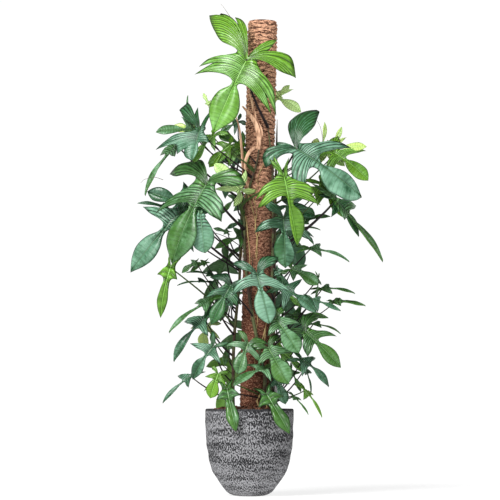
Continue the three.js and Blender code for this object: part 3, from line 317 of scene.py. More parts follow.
# Leaves as (kind, tone, stem, junction, tip, facing bearing, facing height, width, fold, droop, side droop, bow)
LEAVES = [
    ("crown", "bright", 2, (-5, -120, 1465), (-121, -150, 1206), -5, 22, 1, 4, 25, 22, (-52, 0, 0)),
    ("starry", "dark", 1, (-165, -95, 1226), (-191, -150, 1116), -20, 12, 1.8, 5, 12, 6),
    ("plain", "mid", 1, (-183, -35, 1223), (-315, -60, 1219), -25, 35, 0.9),
    ("plain", "bright", 1, (-131, -40, 1223), (-199, -85, 1122), -35, 30, 0.8),
    ("mature", "mid", 1, (-138, -130, 1048), (-258, -150, 772), -30, 20, -1.15, 6, 28, 26),
    ("slender", "dark", 3, (-229, -60, 950), (-400, -50, 748), -25, 12, -1.1, 5, 25, 20),
    ("plain", "dark", 3, (-207, 0, 974), (-346, 10, 1025), -25, 15, 0.9),
    ("mature", "bright", 1, (-35, -30, 1157), (-143, -40, 1112), -15, 15, 0.9),
    ("slender", "mid", 3, (-241, 20, 1188), (-354, 0, 1008), -65, 20, 0.8),
    ("plain", "pale", 1, (-38, -62, 1023), (-125, -72, 1113), -10, 25, 0.9),
    ("oval", "grey", 1, (-164, -165, 945), (-147, -170, 807), -5, 5, 1, 4, 12, 14),
    ("plain", "pale", 5, (73, 60, 1365), (178, 70, 1308), 25, 25, 1),
    ("winged", "dark", 2, (151, -88, 1166), (375, -122, 996), 15, 15, 1, 6, 22, 22),
    ("plain", "bright", 4, (285, 20, 1158), (402, 10, 1061), 25, 28, 1.15),
    ("forked", "bright", 1, (113, -148, 1074), (159, -152, 831), 3, 8, 1, 10, 22, 25),
    ("plain", "dark", 2, (113, -95, 934), (120, -105, 760), 5, 8, 1.05, 6, 20, 25),
    ("plain", "dark", 4, (123, 0, 984), (219, 0, 947), 25, 10, 1.1),
    ("slender", "mid", 4, (281, -20, 996), (452, 0, 785), 62, 30, 0.75, 15, 15, 25),
    ("plain", "bright", 4, (245, 20, 1050), (315, 10, 937), 25, 20, 0.9),
    ("slender", "mid", 4, (200, -30, 828), (338, -10, 785), 60, 48, 0.9),
    ("plain", "dark", 2, (24, -125, 743), (67, -145, 571), 0, 14, 1, 8, 22, 24),
    ("broad", "mid", 4, (140, -10, 761), (232, -15, 707), 20, 30, 1),
    ("slender", "dark", 4, (210, -25, 658), (308, -15, 620), 25, 50, 1),
    ("slender", "mid", 4, (242, 50, 696), (360, 70, 681), 40, 60, 0.8),
    ("slender", "dark", 2, (112, -75, 695), (226, -60, 612), 15, 25, 1.1),
    ("broad", "mid", 2, (87, -125, 592), (164, -150, 475), 10, 20, 1, 5, 20, 22),
    ("mature", "mid", 4, (181, -70, 551), (306, -60, 429), 20, 25, 1, 8, 22, 22),
    ("broad", "mid", 2, (61, -130, 497), (129, -150, 374), 5, 12, 1.05, 5, 18, 20),
    ("slender", "dark", 4, (172, -60, 456), (266, -50, 364), 35, 42, 1.1),
    ("plain", "mid", 1, (-4, -110, 511), (-40, -130, 407), -5, 12, 1.2, 5, 20, 22),
    ("young", "mid", 2, (55, -125, 344), (133, -172, 210), 8, 18, 0.85, 5, 15, 18),
    ("young", "mid", 1, (-75, -125, 361), (-44, -178, 216), -5, 12, 0.75, 5, 15, 18),
    ("slender", "bright", 4, (183, -40, 357), (243, -50, 262), 65, 20, 0.9),
    ("broad", "dark", 2, (88, -85, 394), (120, -100, 307), 15, 8, 0.9),
    ("slender", "mid", 3, (-122, -45, 656), (-271, -60, 545), -60, 45, 0.9),
    ("mature", "dark", 1, (-62, -100, 704), (-128, -120, 572), -10, 15, -1, 8, 20, 22),
    ("slender", "dark", 3, (-146, -20, 596), (-255, -30, 448), -45, 38, 1),
    ("slender", "dark", 3, (-120, -75, 500), (-190, -65, 389), -20, 15, 1.15),
    ("slender", "dark", 3, (-193, -30, 404), (-292, -30, 310), -50, 35, 0.8),
    ("broad", "bright", 1, (-104, -75, 410), (-131, -75, 327), -12, 10, 1.1),
    ("plain", "pale", 3, (-144, 40, 574), (-158, 50, 499), -10, 0, 1.3),
    ("slender", "mid", 2, (53, -85, 404), (-61, -140, 344), -25, 55, 1.3),
    ("young", "bright", 3, (-263, -60, 769), (-298, -60, 595), -20, 10, 0.6),
    ("broad", "dark", 3, (-72, -10, 697), (-126, 0, 637), -25, 10, 1),
]

# Thin leaves behind the others, which the frame has no solid for
THIN_LEAVES = [
    ("plain", "mid", 1, (-22, -20, 1174), (-106, -10, 1216), -30, 25, 0.9),
    ("plain", "dark", 3, (-39, 30, 1263), (-100, 30, 1219), -20, 20, 0.9),
    ("plain", "bright", 1, (-65, -45, 1176), (-136, -50, 1101), -20, 20, 0.9),
    ("young", "dark", 1, (-22, -20, 919), (-79, -20, 895), -20, 30, 0.9),
    ("slender", "mid", 3, (-12, -10, 876), (-120, 0, 829), -30, 30, 1.0),
    ("young", "mid", 3, (-72, 0, 886), (-123, 10, 900), -40, 20, 0.7),
    ("young", "dark", 4, (89, -10, 758), (130, -10, 684), 20, 20, 0.9),
    ("young", "bright", 4, (120, 0, 684), (170, 0, 634), 20, 20, 0.9),
    ("slender", "bright", 2, (112, -40, 481), (183, -40, 411), 25, 20, 0.9),
    ("slender", "mid", 4, (144, 30, 604), (269, 50, 598), 30, 40, 0.8),
    ("plain", "pale", 5, (273, 60, 1168), (399, 60, 1181), 30, 40, 0.9),
    ("young", "pale", 3, (-136, 0, 1318), (-157, 10, 1359), -30, 10, 0.8),
    ("slender", "mid", 3, (-39, 20, 1009), (-93, 20, 948), -20, 10, 0.8),
    ("plain", "pale", 5, (229, 55, 1171), (324, 50, 1113), 25, 30, 1.0),
    ("slender", "dark", 4, (288, -15, 996), (369, -5, 869), 40, 20, 0.9),
    ("plain", "bright", 4, (244, 0, 1028), (315, 0, 944), 20, 15, 0.9),
    ("young", "pale", 5, (93, 70, 1352), (138, 75, 1393), 20, 20, 0.9),
    ("young", "mid", 3, (-147, 10, 786), (-201, 10, 752), -30, 20, 0.8),
    ("slender", "mid", 2, (139, -30, 421), (173, -30, 347), 15, 20, 0.8),
    ("young", "dark", 3, (-59, 0, 657), (-113, 0, 596), -20, 20, 0.9),
]

# Small leaves that are grown together with their stem in the frame
SMALL_LEAVES = [
    ("young", "pale", 3, (-170, 0, 1227), (-258, 10, 1251), -10, 20, 1),
    ("slender", "mid", 3, (-215, 40, 1224), (-249, 50, 1347), -70, 10, 0.7),
    ("young", "dark", 3, (-276, 60, 968), (-382, 60, 988), -60, 40, 0.6),
    ("slender", "pale", 5, (247, 100, 1171), (258, 120, 1272), 30, 5, 0.6),
    ("slender", "pale", 5, (275, 110, 1172), (315, 130, 1256), 20, 10, 0.7),
    ("young", "mid", 4, (175, 50, 920), (277, 70, 943), 60, 45, 0.7),
    ("young", "mid", 5, (165, 70, 900), (243, 90, 898), 60, 60, 0.7),
    ("young", "dark", 4, (174, 10, 894), (218, 20, 844), 50, 20, 0.8),
    ("slender", "mid", 4, (231, 20, 732), (221, 10, 664), 60, 10, 0.8),
    ("young", "mid", 5, (284, 80, 653), (397, 100, 640), 40, 55, 0.7),
    ("slender", "mid", 2, (137, -95, 331), (188, -130, 268), 60, 25, 0.7),
    ("slender", "mid", 4, (212, 40, 577), (310, 60, 544), 30, 60, 0.6),
    ("slender", "dark", 4, (187, 10, 431), (207, 10, 340), 60, 10, 0.6),
    ("young", "mid", 3, (-69, 10, 512), (-83, 10, 438), -20, 0, 0.9),
    ("young", "mid", 3, (-177, 0, 785), (-229, 0, 748), -30, 20, 1),
    ("slender", "dark", 3, (-120, 20, 739), (-215, 30, 751), -60, 50, 0.6),
    ("slender", "dark", 3, (-147, 50, 720), (-246, 50, 708), -60, 50, 0.6),
]

# How light a blade is, partly its own tone and partly painted light and shade: -1 deep, -0.4 vivid, 0 plain,
# 1 lit. The blades that aren't named draw theirs.
WEIGHTS = {
    "leaf_01": 0.0, "leaf_02": 0.1, "leaf_03": 0.2, "leaf_04": 0.5, "leaf_05": -0.15, "leaf_06": 0.25,
    "leaf_08": 0.6, "leaf_10": 0.6, "leaf_11": 0.0, "leaf_12": 0.9, "leaf_13": 0.45, "leaf_15": -0.9,
    "leaf_16": -0.15, "leaf_21": 0.6, "leaf_26": 0.2, "leaf_28": -0.3, "leaf_31": -0.9, "leaf_32": -0.3,
    "leaf_33": -0.5, "leaf_40": -0.6, "leaf_43": -1.2,
}
# What is added along the midrib, from the back lobe's foot over its front, the side lobe and the neck to the tip:
# painted shade on the back lobe and painted light on the side lobe
LOBE_WEIGHTS = (-0.55, -0.7, 0.4, 0.1, 0)
# Painted light on one half of a blade and painted shade on the other, by this much
HALF_WEIGHT = 0.12
# How light the veins of a tone are, and how much painted sheen it carries
TONES = {"dark": (0.45, 0.85), "mid": (0.55, 0.75), "bright": (0.8, 0.5), "pale": (0.7, 0.2), "grey": (0.4, 0.5)}

# What a blade's finish reads from its mesh: veins counted along the margin, millimetres from vein to vein and from
# the midrib, 1 on the lower face, place from junction to tip, the blade's own draw, millimetres from the nearest lobe
# vein, weight of tone and painted light, and millimetres from the margin
LEAF_READINGS = ("veins", "gauge", "rib", "under", "tipward", "shade", "lobe", "weight", "edge")


# Stage, in metres: the floor's half width, the height and side of the view's middle, the sensor in millimetres, and
# the soft boxes as (name, place, target, size, power)
FLOOR_HALF = 30
SOFT_BOXES = [("key", (-2.4, -3.6, 3.0), (0, 0, 0.9), 1.8, 50), ("fill", (3.0, -3.4, 2.6), (0, 0, 0.8), 1.8, 40)]
VIEW_MIDDLE = 0.826
VIEW_SIDE = 0.0017
SENSOR = 36
VIEW_GAMMA = 0.92


class PotSettings(PropertyGroup):
    light: FloatVectorProperty(name="Fleck", description="Colour of the chipped flecks", subtype="COLOR",
                               default=(0.27, 0.27, 0.28), min=0, max=1)
    dark: FloatVectorProperty(name="Ground", description="Colour of the glaze between the flecks", subtype="COLOR",
                              default=(0.018, 0.018, 0.02), min=0, max=1)
    relief: FloatProperty(name="Relief", description="Depth of the chisel marks", default=0.0009, unit="LENGTH")


class CoirSettings(PropertyGroup):
    light: FloatVectorProperty(name="Light fibre", description="Colour of the fibre at the top", subtype="COLOR",
                               default=(0.66, 0.38, 0.25), min=0, max=1)
    dark: FloatVectorProperty(name="Dark fibre", description="Colour of the damp fibre low down", subtype="COLOR",
                              default=(0.1, 0.034, 0.02), min=0, max=1)
    ridge: FloatProperty(name="Ridge", description="Height of the wrapped ridges", default=0.0045, unit="LENGTH")
    pitch: FloatProperty(name="Pitch", description="Distance between ridges", default=0.0146, unit="LENGTH")
    fibres: IntProperty(name="Loose fibres", description="Number of fibres that stand out", default=700)


class LeafSettings(PropertyGroup):
    dark: FloatVectorProperty(name="Dark", description="Colour of the dark leaves", subtype="COLOR",
                              default=(0.024, 0.1, 0.046), min=0, max=1)
    mid: FloatVectorProperty(name="Middle", description="Colour of the middle green leaves", subtype="COLOR",
                             default=(0.045, 0.135, 0.034), min=0, max=1)
    bright: FloatVectorProperty(name="Bright", description="Colour of the bright leaves", subtype="COLOR",
                                default=(0.115, 0.27, 0.025), min=0, max=1)
    pale: FloatVectorProperty(name="Pale", description="Colour of the young pale leaves", subtype="COLOR",
                              default=(0.42, 0.58, 0.22), min=0, max=1)
    grey: FloatVectorProperty(name="Grey", description="Colour of the grey green leaves", subtype="COLOR",
                              default=(0.1, 0.22, 0.15), min=0, max=1)
    pleat: FloatProperty(name="Pleat", description="Height of a pleat for the distance between two veins",
                         default=0.3, subtype="FACTOR")
    gloss: FloatProperty(name="Roughness", description="Roughness of the upper face", default=0.3, subtype="FACTOR")


class StemSettings(PropertyGroup):
    bark: FloatVectorProperty(name="Stem", description="Colour of the climbing stems", subtype="COLOR",
                              default=(0.085, 0.1, 0.034), min=0, max=1)
    petiole: FloatVectorProperty(name="Petiole", description="Colour of the dark leaf stalks", subtype="COLOR",
                                 default=(0.012, 0.006, 0.007), min=0, max=1)
    sheath: FloatVectorProperty(name="Sheath", description="Colour of the dried sheaths", subtype="COLOR",
                                default=(0.78, 0.5, 0.33), min=0, max=1)
    root: FloatVectorProperty(name="Root", description="Colour of the aerial roots", subtype="COLOR",
                              default=(0.5, 0.38, 0.17), min=0, max=1)


class StageSettings(PropertyGroup):
    floor: FloatVectorProperty(name="Floor", description="Colour of the floor", subtype="COLOR",
                               default=(0.3, 0.3, 0.3), min=0, max=1)
    glow: FloatProperty(name="Floor light", description="Strength of the floor's own light", default=0.78)
    sun: FloatProperty(name="Sun", description="Strength of the soft sun", default=3.4)
    distance: FloatProperty(name="Camera distance", description="From the plant's middle", default=9.0, unit="LENGTH")
    eye: FloatProperty(name="Eye height", description="Height of the camera", default=0.38, unit="LENGTH")
    width: FloatProperty(name="View width", description="Width seen at the plant", default=1.685, unit="LENGTH")


GROUPS = {
    "plant_pot": PotSettings,
    "plant_coir": CoirSettings,
    "plant_leaf": LeafSettings,
    "plant_stem": StemSettings,
    "plant_stage": StageSettings,
}


class Value:
    """A node's output that adds its own Math node when it takes part in a sum."""

    def __init__(self, finish, socket):
        self.finish = finish
        self.socket = socket

    def __add__(self, other):
        return self.finish.maths("ADD", self, other)

    def __radd__(self, other):
        return self.finish.maths("ADD", other, self)

    def __sub__(self, other):
        return self.finish.maths("SUBTRACT", self, other)

    def __rsub__(self, other):
        return self.finish.maths("SUBTRACT", other, self)

    def __mul__(self, other):
        return self.finish.maths("MULTIPLY", self, other)

    def __rmul__(self, other):
        return self.finish.maths("MULTIPLY", other, self)

    def __truediv__(self, other):
        return self.finish.maths("DIVIDE", self, other)

    def __rtruediv__(self, other):
        return self.finish.maths("DIVIDE", other, self)


class Finish:
    """One node tree, a material's or the world's. add makes a node of it, and the others are the few patterns that
    the pieces share."""

    def __init__(self, name, holder=None):
        self.holder = holder or bpy.data.materials.new(name)
        self.holder.use_nodes = True
        self.tree = self.holder.node_tree
        self.tree.nodes.clear()

    def add(self, kind, settings=None, inputs=None, output=0):
        """Adds a node, sets its settings, then gives each input socket its value or link. Returns one output."""
        node = self.tree.nodes.new(kind)
        for name, setting in (settings or {}).items():
            setattr(node, name, setting)
        for name, given in (inputs or {}).items():
            socket = node.inputs[name]
            if isinstance(given, Value):
                self.tree.links.new(given.socket, socket)
            elif socket.type == "RGBA":
                socket.default_value = (*tuple(given)[:3], 1)
            else:
                socket.default_value = given
        return Value(self, node.outputs[output]) if node.outputs else None

    def maths(self, operation, *terms):
        """A Math node on its terms, in their order."""
        return self.add("ShaderNodeMath", {"operation": operation}, dict(enumerate(terms)))

    def stretch(self, where, scale, turn=0):
        """Coordinates stretched by a factor each, then turned about Z by an angle in degrees."""
        inputs = {"Vector": where, "Scale": scale, "Rotation": (0, 0, math.radians(turn))}
        return self.add("ShaderNodeMapping", {}, inputs)

    def place(self, scale=(1, 1, 1)):
        """Object coordinates, stretched by a factor each."""
        return self.stretch(self.add("ShaderNodeTexCoord", output="Object"), scale)

    def noise(self, scale, detail=3, roughness=0.55, where=None):
        """Cloudy noise, on Object coordinates unless others are given."""
        inputs = {"Vector": where or self.place(), "Scale": scale, "Detail": detail, "Roughness": roughness}
        return self.add("ShaderNodeTexNoise", {}, inputs)

    def reading(self, name):
        """A value that the mesh carries at each point."""
        return self.add("ShaderNodeAttribute", {"attribute_name": name}, output="Fac")

    def step(self, value, low, high, start=0.0, end=1.0):
        """Runs smoothly from start to end while the value runs from low to high."""
        inputs = {"Value": value, "From Min": low, "From Max": high, "To Min": start, "To Max": end}
        return self.add("ShaderNodeMapRange", {"interpolation_type": "SMOOTHSTEP"}, inputs)

    def mix(self, share, first, second):
        """A colour between two colours."""
        settings = {"data_type": "RGBA", "clamp_factor": True}
        return self.add("ShaderNodeMix", settings, {0: share, 6: first, 7: second}, output=2)

    def layers(self, ground, *layers):
        """Colours laid over a ground one after another, each by its own share."""
        for share, colour in layers:
            ground = self.mix(share, ground, colour)
        return ground

    def bump(self, height, distance, strength=1.0):
        """A normal tilted by a height."""
        return self.add("ShaderNodeBump", {}, {"Height": height, "Distance": distance, "Strength": strength})

    def close(self, constants, **varying):
        """Ends in one Principled surface: the constants are set on their own sockets, and what varies is linked."""
        names = {"colour": "Base Color", "roughness": "Roughness", "normal": "Normal"}
        inputs = {**constants, **{names[key]: link for key, link in varying.items()}}
        surface = self.add("ShaderNodeBsdfPrincipled", {}, inputs)
        self.add("ShaderNodeOutputMaterial", {}, {"Surface": surface})
        return self.holder


class Shell:
    """Gathers the surfaces of one piece: points in millimetres, faces, and named values at the points."""

    def __init__(self):
        self.points = []
        self.faces = []
        self.finish_numbers = []
        self.values = {}
        self.count = 0

    def add(self, points, *face_blocks, finish=0, **values):
        points = np.asarray(points, float).reshape(-1, 3)
        for block in face_blocks:
            self.faces += (np.asarray(block) + self.count).tolist()
            self.finish_numbers += [finish] * len(block)
        self.points.append(points)
        for name, value in values.items():
            filled = np.broadcast_to(np.asarray(value, float), len(points))
            self.values.setdefault(name, []).append((self.count, filled))
        self.count += len(points)

    def build(self, name, finishes, slot, *nodes):
        """Makes the mesh object in metres, rides it on the frame and lets it stand for the named nodes."""
        mesh = bpy.data.meshes.new(name)
        mesh.from_pydata((np.concatenate(self.points) * MM).tolist(), [], self.faces)
        for finish in finishes:
            mesh.materials.append(finish)
        mesh.polygons.foreach_set("material_index", self.finish_numbers)
        mesh.polygons.foreach_set("use_smooth", [True] * len(mesh.polygons))
        for value_name, blocks in self.values.items():
            whole = np.zeros(self.count)
            for start, block in blocks:
                whole[start:start + len(block)] = block
            mesh.attributes.new(value_name, "FLOAT", "POINT").data.foreach_set("value", whole)
        mesh.update()
        piece = bpy.data.objects.new(name, mesh)
        bpy.context.scene.collection.objects.link(piece)
        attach(piece, "root")
        if nodes:
            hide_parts(*nodes)
        return piece


def unit(vectors):
    """Vectors made one long."""
    return vectors / np.linalg.norm(vectors, axis=-1, keepdims=True)


def draw(index, salt):
    """A fixed draw between -1 and 1: the fraction of a steep sine, doubled and centred."""
    wave = math.sin(index * 12.9898 + salt * 78.233) * 43758.5453
    return 2 * (wave - math.floor(wave)) - 1


def pole_axis(z):
    """The pole's axis at a height: the foot's place plus the height above it times the lean's tangent."""
    return POLE_FOOT[0] + (z - POLE_FOOT[2]) * math.tan(POLE_LEAN)


def lean_with_pole(points):
    """Turns points about +Y by the pole's lean and moves them to its foot."""
    x, y, z = points[..., 0], points[..., 1], points[..., 2]
    turned = np.stack([
        x * math.cos(POLE_LEAN) + z * math.sin(POLE_LEAN),
        y,
        z * math.cos(POLE_LEAN) - x * math.sin(POLE_LEAN),
    ], axis=-1)
    return turned + np.array(POLE_FOOT)


def ripple(seed, turn, z, terms, reach):
    """Soft noise round a turned shape: a sum of sines of whole turns and of height, with seeded phases."""
    rng = np.random.default_rng(seed)
    total = np.zeros(np.broadcast(turn, z).shape)
    for _ in range(terms):
        whole = rng.integers(0, 9)
        along = rng.uniform(1, 8) / reach
        total += np.sin(whole * turn + 2 * math.pi * along * z * rng.choice([-1, 1]) + rng.uniform(0, 2 * math.pi))
    return total / math.sqrt(terms)


def smooth_curve(points, steps):
    """Curve through points: on each span the cubic whose slope at a point is half the step across it."""
    points = np.asarray(points, float)
    whole = np.vstack([2 * points[0] - points[1], points, 2 * points[-1] - points[-2]])
    a, b, c, d = (whole[i:len(whole) - 3 + i, None] for i in range(4))
    t = (np.arange(steps) / steps)[None, :, None]
    spans = 0.5 * (2 * b + (c - a) * t + (2 * a - 5 * b + 4 * c - d) * t**2 + (3 * b - a - 3 * c + d) * t**3)
    return np.vstack([spans.reshape(-1, points.shape[1]), points[-1:]])


def grid_faces(rows, columns, closed=True):
    """Four-sided faces of a grid whose points run row by row; closed joins the last column to the first."""
    row = np.arange(rows - 1)[:, None]
    column = np.arange(columns if closed else columns - 1)[None, :]
    following = (column + 1) % columns
    corners = [row * columns + column, row * columns + following]
    corners += [corners[1] + columns, corners[0] + columns]
    return np.stack(corners, axis=-1).reshape(-1, 4)


def cap_faces(centre, first, sides, flip):
    """Fan of three-sided faces from a ring of points to one centre point."""
    k = np.arange(sides)
    pair = [first + k, first + (k + 1) % sides]
    if flip:
        pair.reverse()
    return np.stack([np.full(sides, centre), *pair], axis=-1)


def turned(profile, sides, swell=None):
    """Turned body: profile (radius, height) carried round Z; its first and last points are on the axis.
    swell(turn, radius, height) is added to the radius."""
    profile = np.asarray(profile, float)
    inner = profile[1:-1]
    turn = np.arange(sides) * 2 * math.pi / sides
    radius = inner[:, :1] + (swell(turn[None], inner[:, :1], inner[:, 1:]) if swell else 0)
    height = np.broadcast_to(inner[:, 1:], radius.shape if swell else (len(inner), sides))
    radius = np.broadcast_to(radius, height.shape)
    rings = np.stack([radius * np.cos(turn), radius * np.sin(turn), height], axis=-1)
    ends = np.array([[0, 0, profile[0, 1]], [0, 0, profile[-1, 1]]])
    points = np.vstack([rings.reshape(-1, 3), ends])
    count = len(inner) * sides
    faces = [
        grid_faces(len(inner), sides),
        cap_faces(count, 0, sides, True),
        cap_faces(count + 1, count - sides, sides, False),
    ]
    return points, faces


def rod(path, radii, sides, flat=1.0):
    """Bar along a path: point = centre + radius * (cos turn * side + flat * sin turn * up), where side is square to
    the path and to the direction that the path runs along least. Both ends close on a point."""
    path = np.asarray(path, float)
    ahead = unit(np.gradient(path, axis=0))
    spare = np.linalg.svd(ahead, full_matrices=True)[2][-1]
    side = unit(np.cross(spare, ahead))
    up = np.cross(ahead, side)
    turn = (np.arange(sides) * 2 * math.pi / sides)[None, :, None]
    radii = np.broadcast_to(np.asarray(radii, float), len(path))[:, None, None]
    rings = path[:, None] + radii * (np.cos(turn) * side[:, None] + flat * np.sin(turn) * up[:, None])
    ends = np.vstack([path[0] - ahead[0] * radii[0, 0] * 0.4, path[-1] + ahead[-1] * radii[-1, 0] * 0.4])
    count = len(path) * sides
    faces = [
        grid_faces(len(path), sides),
        cap_faces(count, 0, sides, True),
        cap_faces(count + 1, count - sides, sides, False),
    ]
    return np.vstack([rings.reshape(-1, 3), ends]), faces


def along_rod(count, sides, values):
    """Repeats a value per path step for its ring's points and the two end points."""
    values = np.broadcast_to(np.asarray(values, float), count)
    return np.concatenate([np.repeat(values, sides), values[[0, -1]]])


class Blade:
    """How a blade stands: its length, its axes at the junction (along, across, out of its face) and its bends.
    node names its own solid in the frame, where it has one, and extra marks a blade that the frame doesn't hold."""

    def __init__(self, row, index, node=None, extra=False):
        self.kind, self.tone, self.stem, junction, tip, bearing, height, self.width, *bends = row
        fold, droop, side = bends[:3] or (9 + 6 * draw(index, 2), 32 + 14 * draw(index, 1), 26 + 10 * draw(index, 3))
        self.bow = np.array(bends[3] if len(bends) > 3 else (0, 0, 0), float)
        self.index = index
        self.node = node
        self.extra = extra
        self.fold, self.droop, self.side = np.radians([fold, droop, side])
        self.wave_phase = math.pi * draw(index, 4)
        self.start = np.array(junction, float)
        chord = np.array(tip, float) - self.start
        turn, rise = np.radians([bearing, height])
        facing = np.array([math.sin(turn) * math.cos(rise), -math.cos(turn) * math.cos(rise), math.sin(rise)])
        ahead = unit(chord)
        up = unit(facing - ahead * (facing @ ahead))
        half = self.droop / 2
        self.along = ahead * math.cos(half) + up * math.sin(half)
        self.out = up * math.cos(half) - ahead * math.sin(half)
        self.across = np.cross(self.out, self.along)
        self.length = np.linalg.norm(chord) * half / math.sin(half)

    def point(self, u, v):
        """Middle surface. The midrib is an arc, each half leaves it at the fold angle and droops as another arc, the
        side lobes bend like sickles (along = u + v squared) and the margin is waved by a sine."""
        a = u + v * v
        b = v * self.width
        reach = np.abs(b)
        bend = self.droop * a
        curl = self.side / 0.5
        inner = self.fold - curl * reach
        sideways = (math.sin(self.fold) - np.sin(inner)) / curl
        wave = MARGIN_WAVE * reach * np.sin(9 * a + self.wave_phase + np.sign(b))
        lift = (np.cos(inner) - math.cos(self.fold)) / curl + wave
        forward = np.sin(bend) / self.droop + lift * np.sin(bend)
        outward = (np.cos(bend) - 1) / self.droop + lift * np.cos(bend)
        parts = (forward, self.along), (outward, self.out), (np.sign(b) * sideways, self.across)
        return self.start + self.length * sum(share[..., None] * axis for share, axis in parts)

    def normal(self, u, v, step=0.01):
        """Unit cross product of the surface's differences along and across, on the face's outer side."""
        along = self.point(u + step, v) - self.point(u - step, v)
        across = self.point(u, v + step) - self.point(u, v - step)
        return unit(np.cross(along, across)) * math.copysign(1, self.width)

    def corners(self):
        """The outline's listed points on both sides of the midrib."""
        kind = KINDS[self.kind]
        halves = ((1, kind["right"]), (-1, kind["left"]))
        return np.array([(p[0], sign * p[1]) for sign, half in halves for lobe in half for p in lobe]).T

    def settle(self, solid):
        """Slides the blade along its outward direction, step by step, to where the frame's solid has its corners."""
        drift = unit(self.out * (1, 1, 0.4))
        outline = self.point(*self.corners())
        steps = np.arange(SLIDES + 1)
        shifts = SLIDE_STEP * np.ceil(steps / 2) * np.where(steps % 2, 1, -1)
        misses = [nearest(outline + drift * shift, solid).mean() for shift in shifts]
        self.start = self.start + drift * shifts[int(np.argmin(misses))]


def nearest(points, others):
    """Distance from each point to the closest of the others."""
    return np.sqrt(((points[:, None] - others[None]) ** 2).sum(-1).min(1))


def solid_points(node):
    """The corners of a frame solid in millimetres."""
    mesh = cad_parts[node].data
    corners = np.zeros(len(mesh.vertices) * 3)
    mesh.vertices.foreach_get("co", corners)
    return np.unique((corners.reshape(-1, 3) / MM).round(3), axis=0)


def rear_leaf(i):
    """Leaves behind the plant, by rule: a steady climb, spread over the rear half, each hanging outwards."""
    kinds = ("mature", "plain", "broad", "slender", "plain", "mature", "slender")
    tones = ("dark", "mid", "dark", "bright", "mid", "dark", "mid")
    small = i >= REAR_LEAVES_APART
    place = i - REAR_LEAVES_APART + 0.5 if small else i
    z = 430 + (160 if small else 122) * place
    bearing = 90 + 48 * math.sin(2.4 * i + 0.6)
    turn = math.radians(bearing)
    reach = (110 if small else 150) + 28 * math.sin(1.7 * i)
    hang = (105 if small else 175) + 25 * math.sin(2.9 * i)
    spread = 60 if small else 95

    def at(distance, height):
        place = (pole_axis(height) + distance * math.cos(turn), distance * math.sin(turn), height)
        return tuple(math.floor(value + 0.5) for value in place)

    stem = 3 if math.cos(turn) < -0.45 else 4 if math.cos(turn) > 0.45 else 5
    tip = at(reach + spread, z - hang)
    return kinds[i % 7], tones[(i + 3) % 7], stem, at(reach, z), tip, bearing + 90, 25, -1 if i % 2 else 1


def listed_point(stem, z):
    """A stem's place at a height: bearing and distance run evenly between its listed places."""
    rows = np.array(STEMS[stem], float)
    i = min(max(int(np.searchsorted(rows[:, 0], z, side="right")) - 1, 0), len(rows) - 2)
    low, high = rows[i], rows[i + 1]
    share = (z - low[0]) / (high[0] - low[0])
    swing = high[1] - low[1]
    swing -= 360 * math.floor(swing / 360 + 0.5)
    bearing = math.radians(low[1] + swing * share)
    distance = low[2] + (high[2] - low[2]) * share
    return pole_axis(z) + distance * math.cos(bearing), distance * math.sin(bearing), z


def stem_path(stem):
    """A stem's points at even heights, about STEM_STEP apart."""
    bottom, top = STEMS[stem][0][0], STEMS[stem][-1][0]
    steps = math.floor((top - bottom) / STEM_STEP + 0.5)
    return np.array([listed_point(stem, bottom + (top - bottom) * i / steps) for i in range(steps + 1)])


STEM_PATHS = [stem_path(stem) for stem in range(len(STEMS))]


def stem_point(stem, z):
    """The middle of a stem at a height, on straight runs between its path's points."""
    path = STEM_PATHS[stem]
    return np.array([np.interp(z, path[:, 2], path[:, 0]), np.interp(z, path[:, 2], path[:, 1]), z])


def petiole_radius(blade):
    """A petiole's radius at its foot in the frame: a share of its blade's length."""
    return max(PETIOLE_THINNEST, PETIOLE_SHARE * blade.length)


def petiole_start(blade):
    """Where a petiole leaves its stem."""
    reach = math.hypot(blade.start[0] - pole_axis(blade.start[2]), blade.start[1])
    top = STEMS[blade.stem - 1][-1][0]
    height = blade.start[2] - PETIOLE_LEAVES * reach - PETIOLE_DROP
    return stem_point(blade.stem - 1, min(max(height, PETIOLE_LOWEST), top - PETIOLE_DROP))


def petiole_bows(blade):
    """The offsets that a petiole may bow by: its own, none, then each size in each direction square to it."""
    ahead = unit(blade.start - petiole_start(blade))
    level = unit(np.array([-ahead[1], ahead[0], 0]))
    upright = unit(np.cross(level, ahead))
    turns = np.arange(PETIOLE_DIRECTIONS) * 2 * math.pi / PETIOLE_DIRECTIONS
    bows = [blade.bow, np.zeros(3)]
    bows += [size * (level * math.cos(turn) + upright * math.sin(turn)) for size in PETIOLE_BOWS for turn in turns]
    return bows


def petiole_path(blade, behind, bow, steps):
    """Cubic curve of four points: it leaves its stem outwards and upwards and ends behind the blade's heart."""
    start = petiole_start(blade)
    heart = np.array([HEART]), np.array([0.0])
    normal = blade.normal(*heart)[0]
    end = blade.point(*heart)[0] - normal * behind
    distance = np.linalg.norm(end - start)
    outward = unit(np.array([start[0] - pole_axis(start[2]), start[1], 0]))
    leave = outward * 0.8 + (0, 0, 0.5)
    arrive = unit(end - start) + (0, 0, 0.3)
    arrive = unit(arrive + normal * max(0, 0.75 - arrive @ normal))
    first = start + leave * 0.35 * distance + bow
    second = end - arrive * 0.3 * distance + bow * 0.6
    t = np.linspace(0, 1, steps + 1)[:, None]
    return (1 - t)**3 * start + 3 * (1 - t)**2 * t * first + 3 * (1 - t) * t**2 * second + t**3 * end


def petiole_bow(blade, solid):
    """The bow whose path runs down the middle of the frame's petiole."""
    radius = petiole_radius(blade)
    shares = np.arange(1, PETIOLE_STEPS) / PETIOLE_STEPS
    expected = radius * (1 - (1 - PETIOLE_TIP_SHARE) * shares)
    behind = BLADE_THICKNESS / 2 + 0.6 * radius * PETIOLE_TIP_SHARE
    bows = petiole_bows(blade)
    paths = [petiole_path(blade, behind, bow, PETIOLE_STEPS)[1:-1] for bow in bows]
    return bows[int(np.argmin([np.abs(nearest(path, solid) - expected).mean() for path in paths]))]


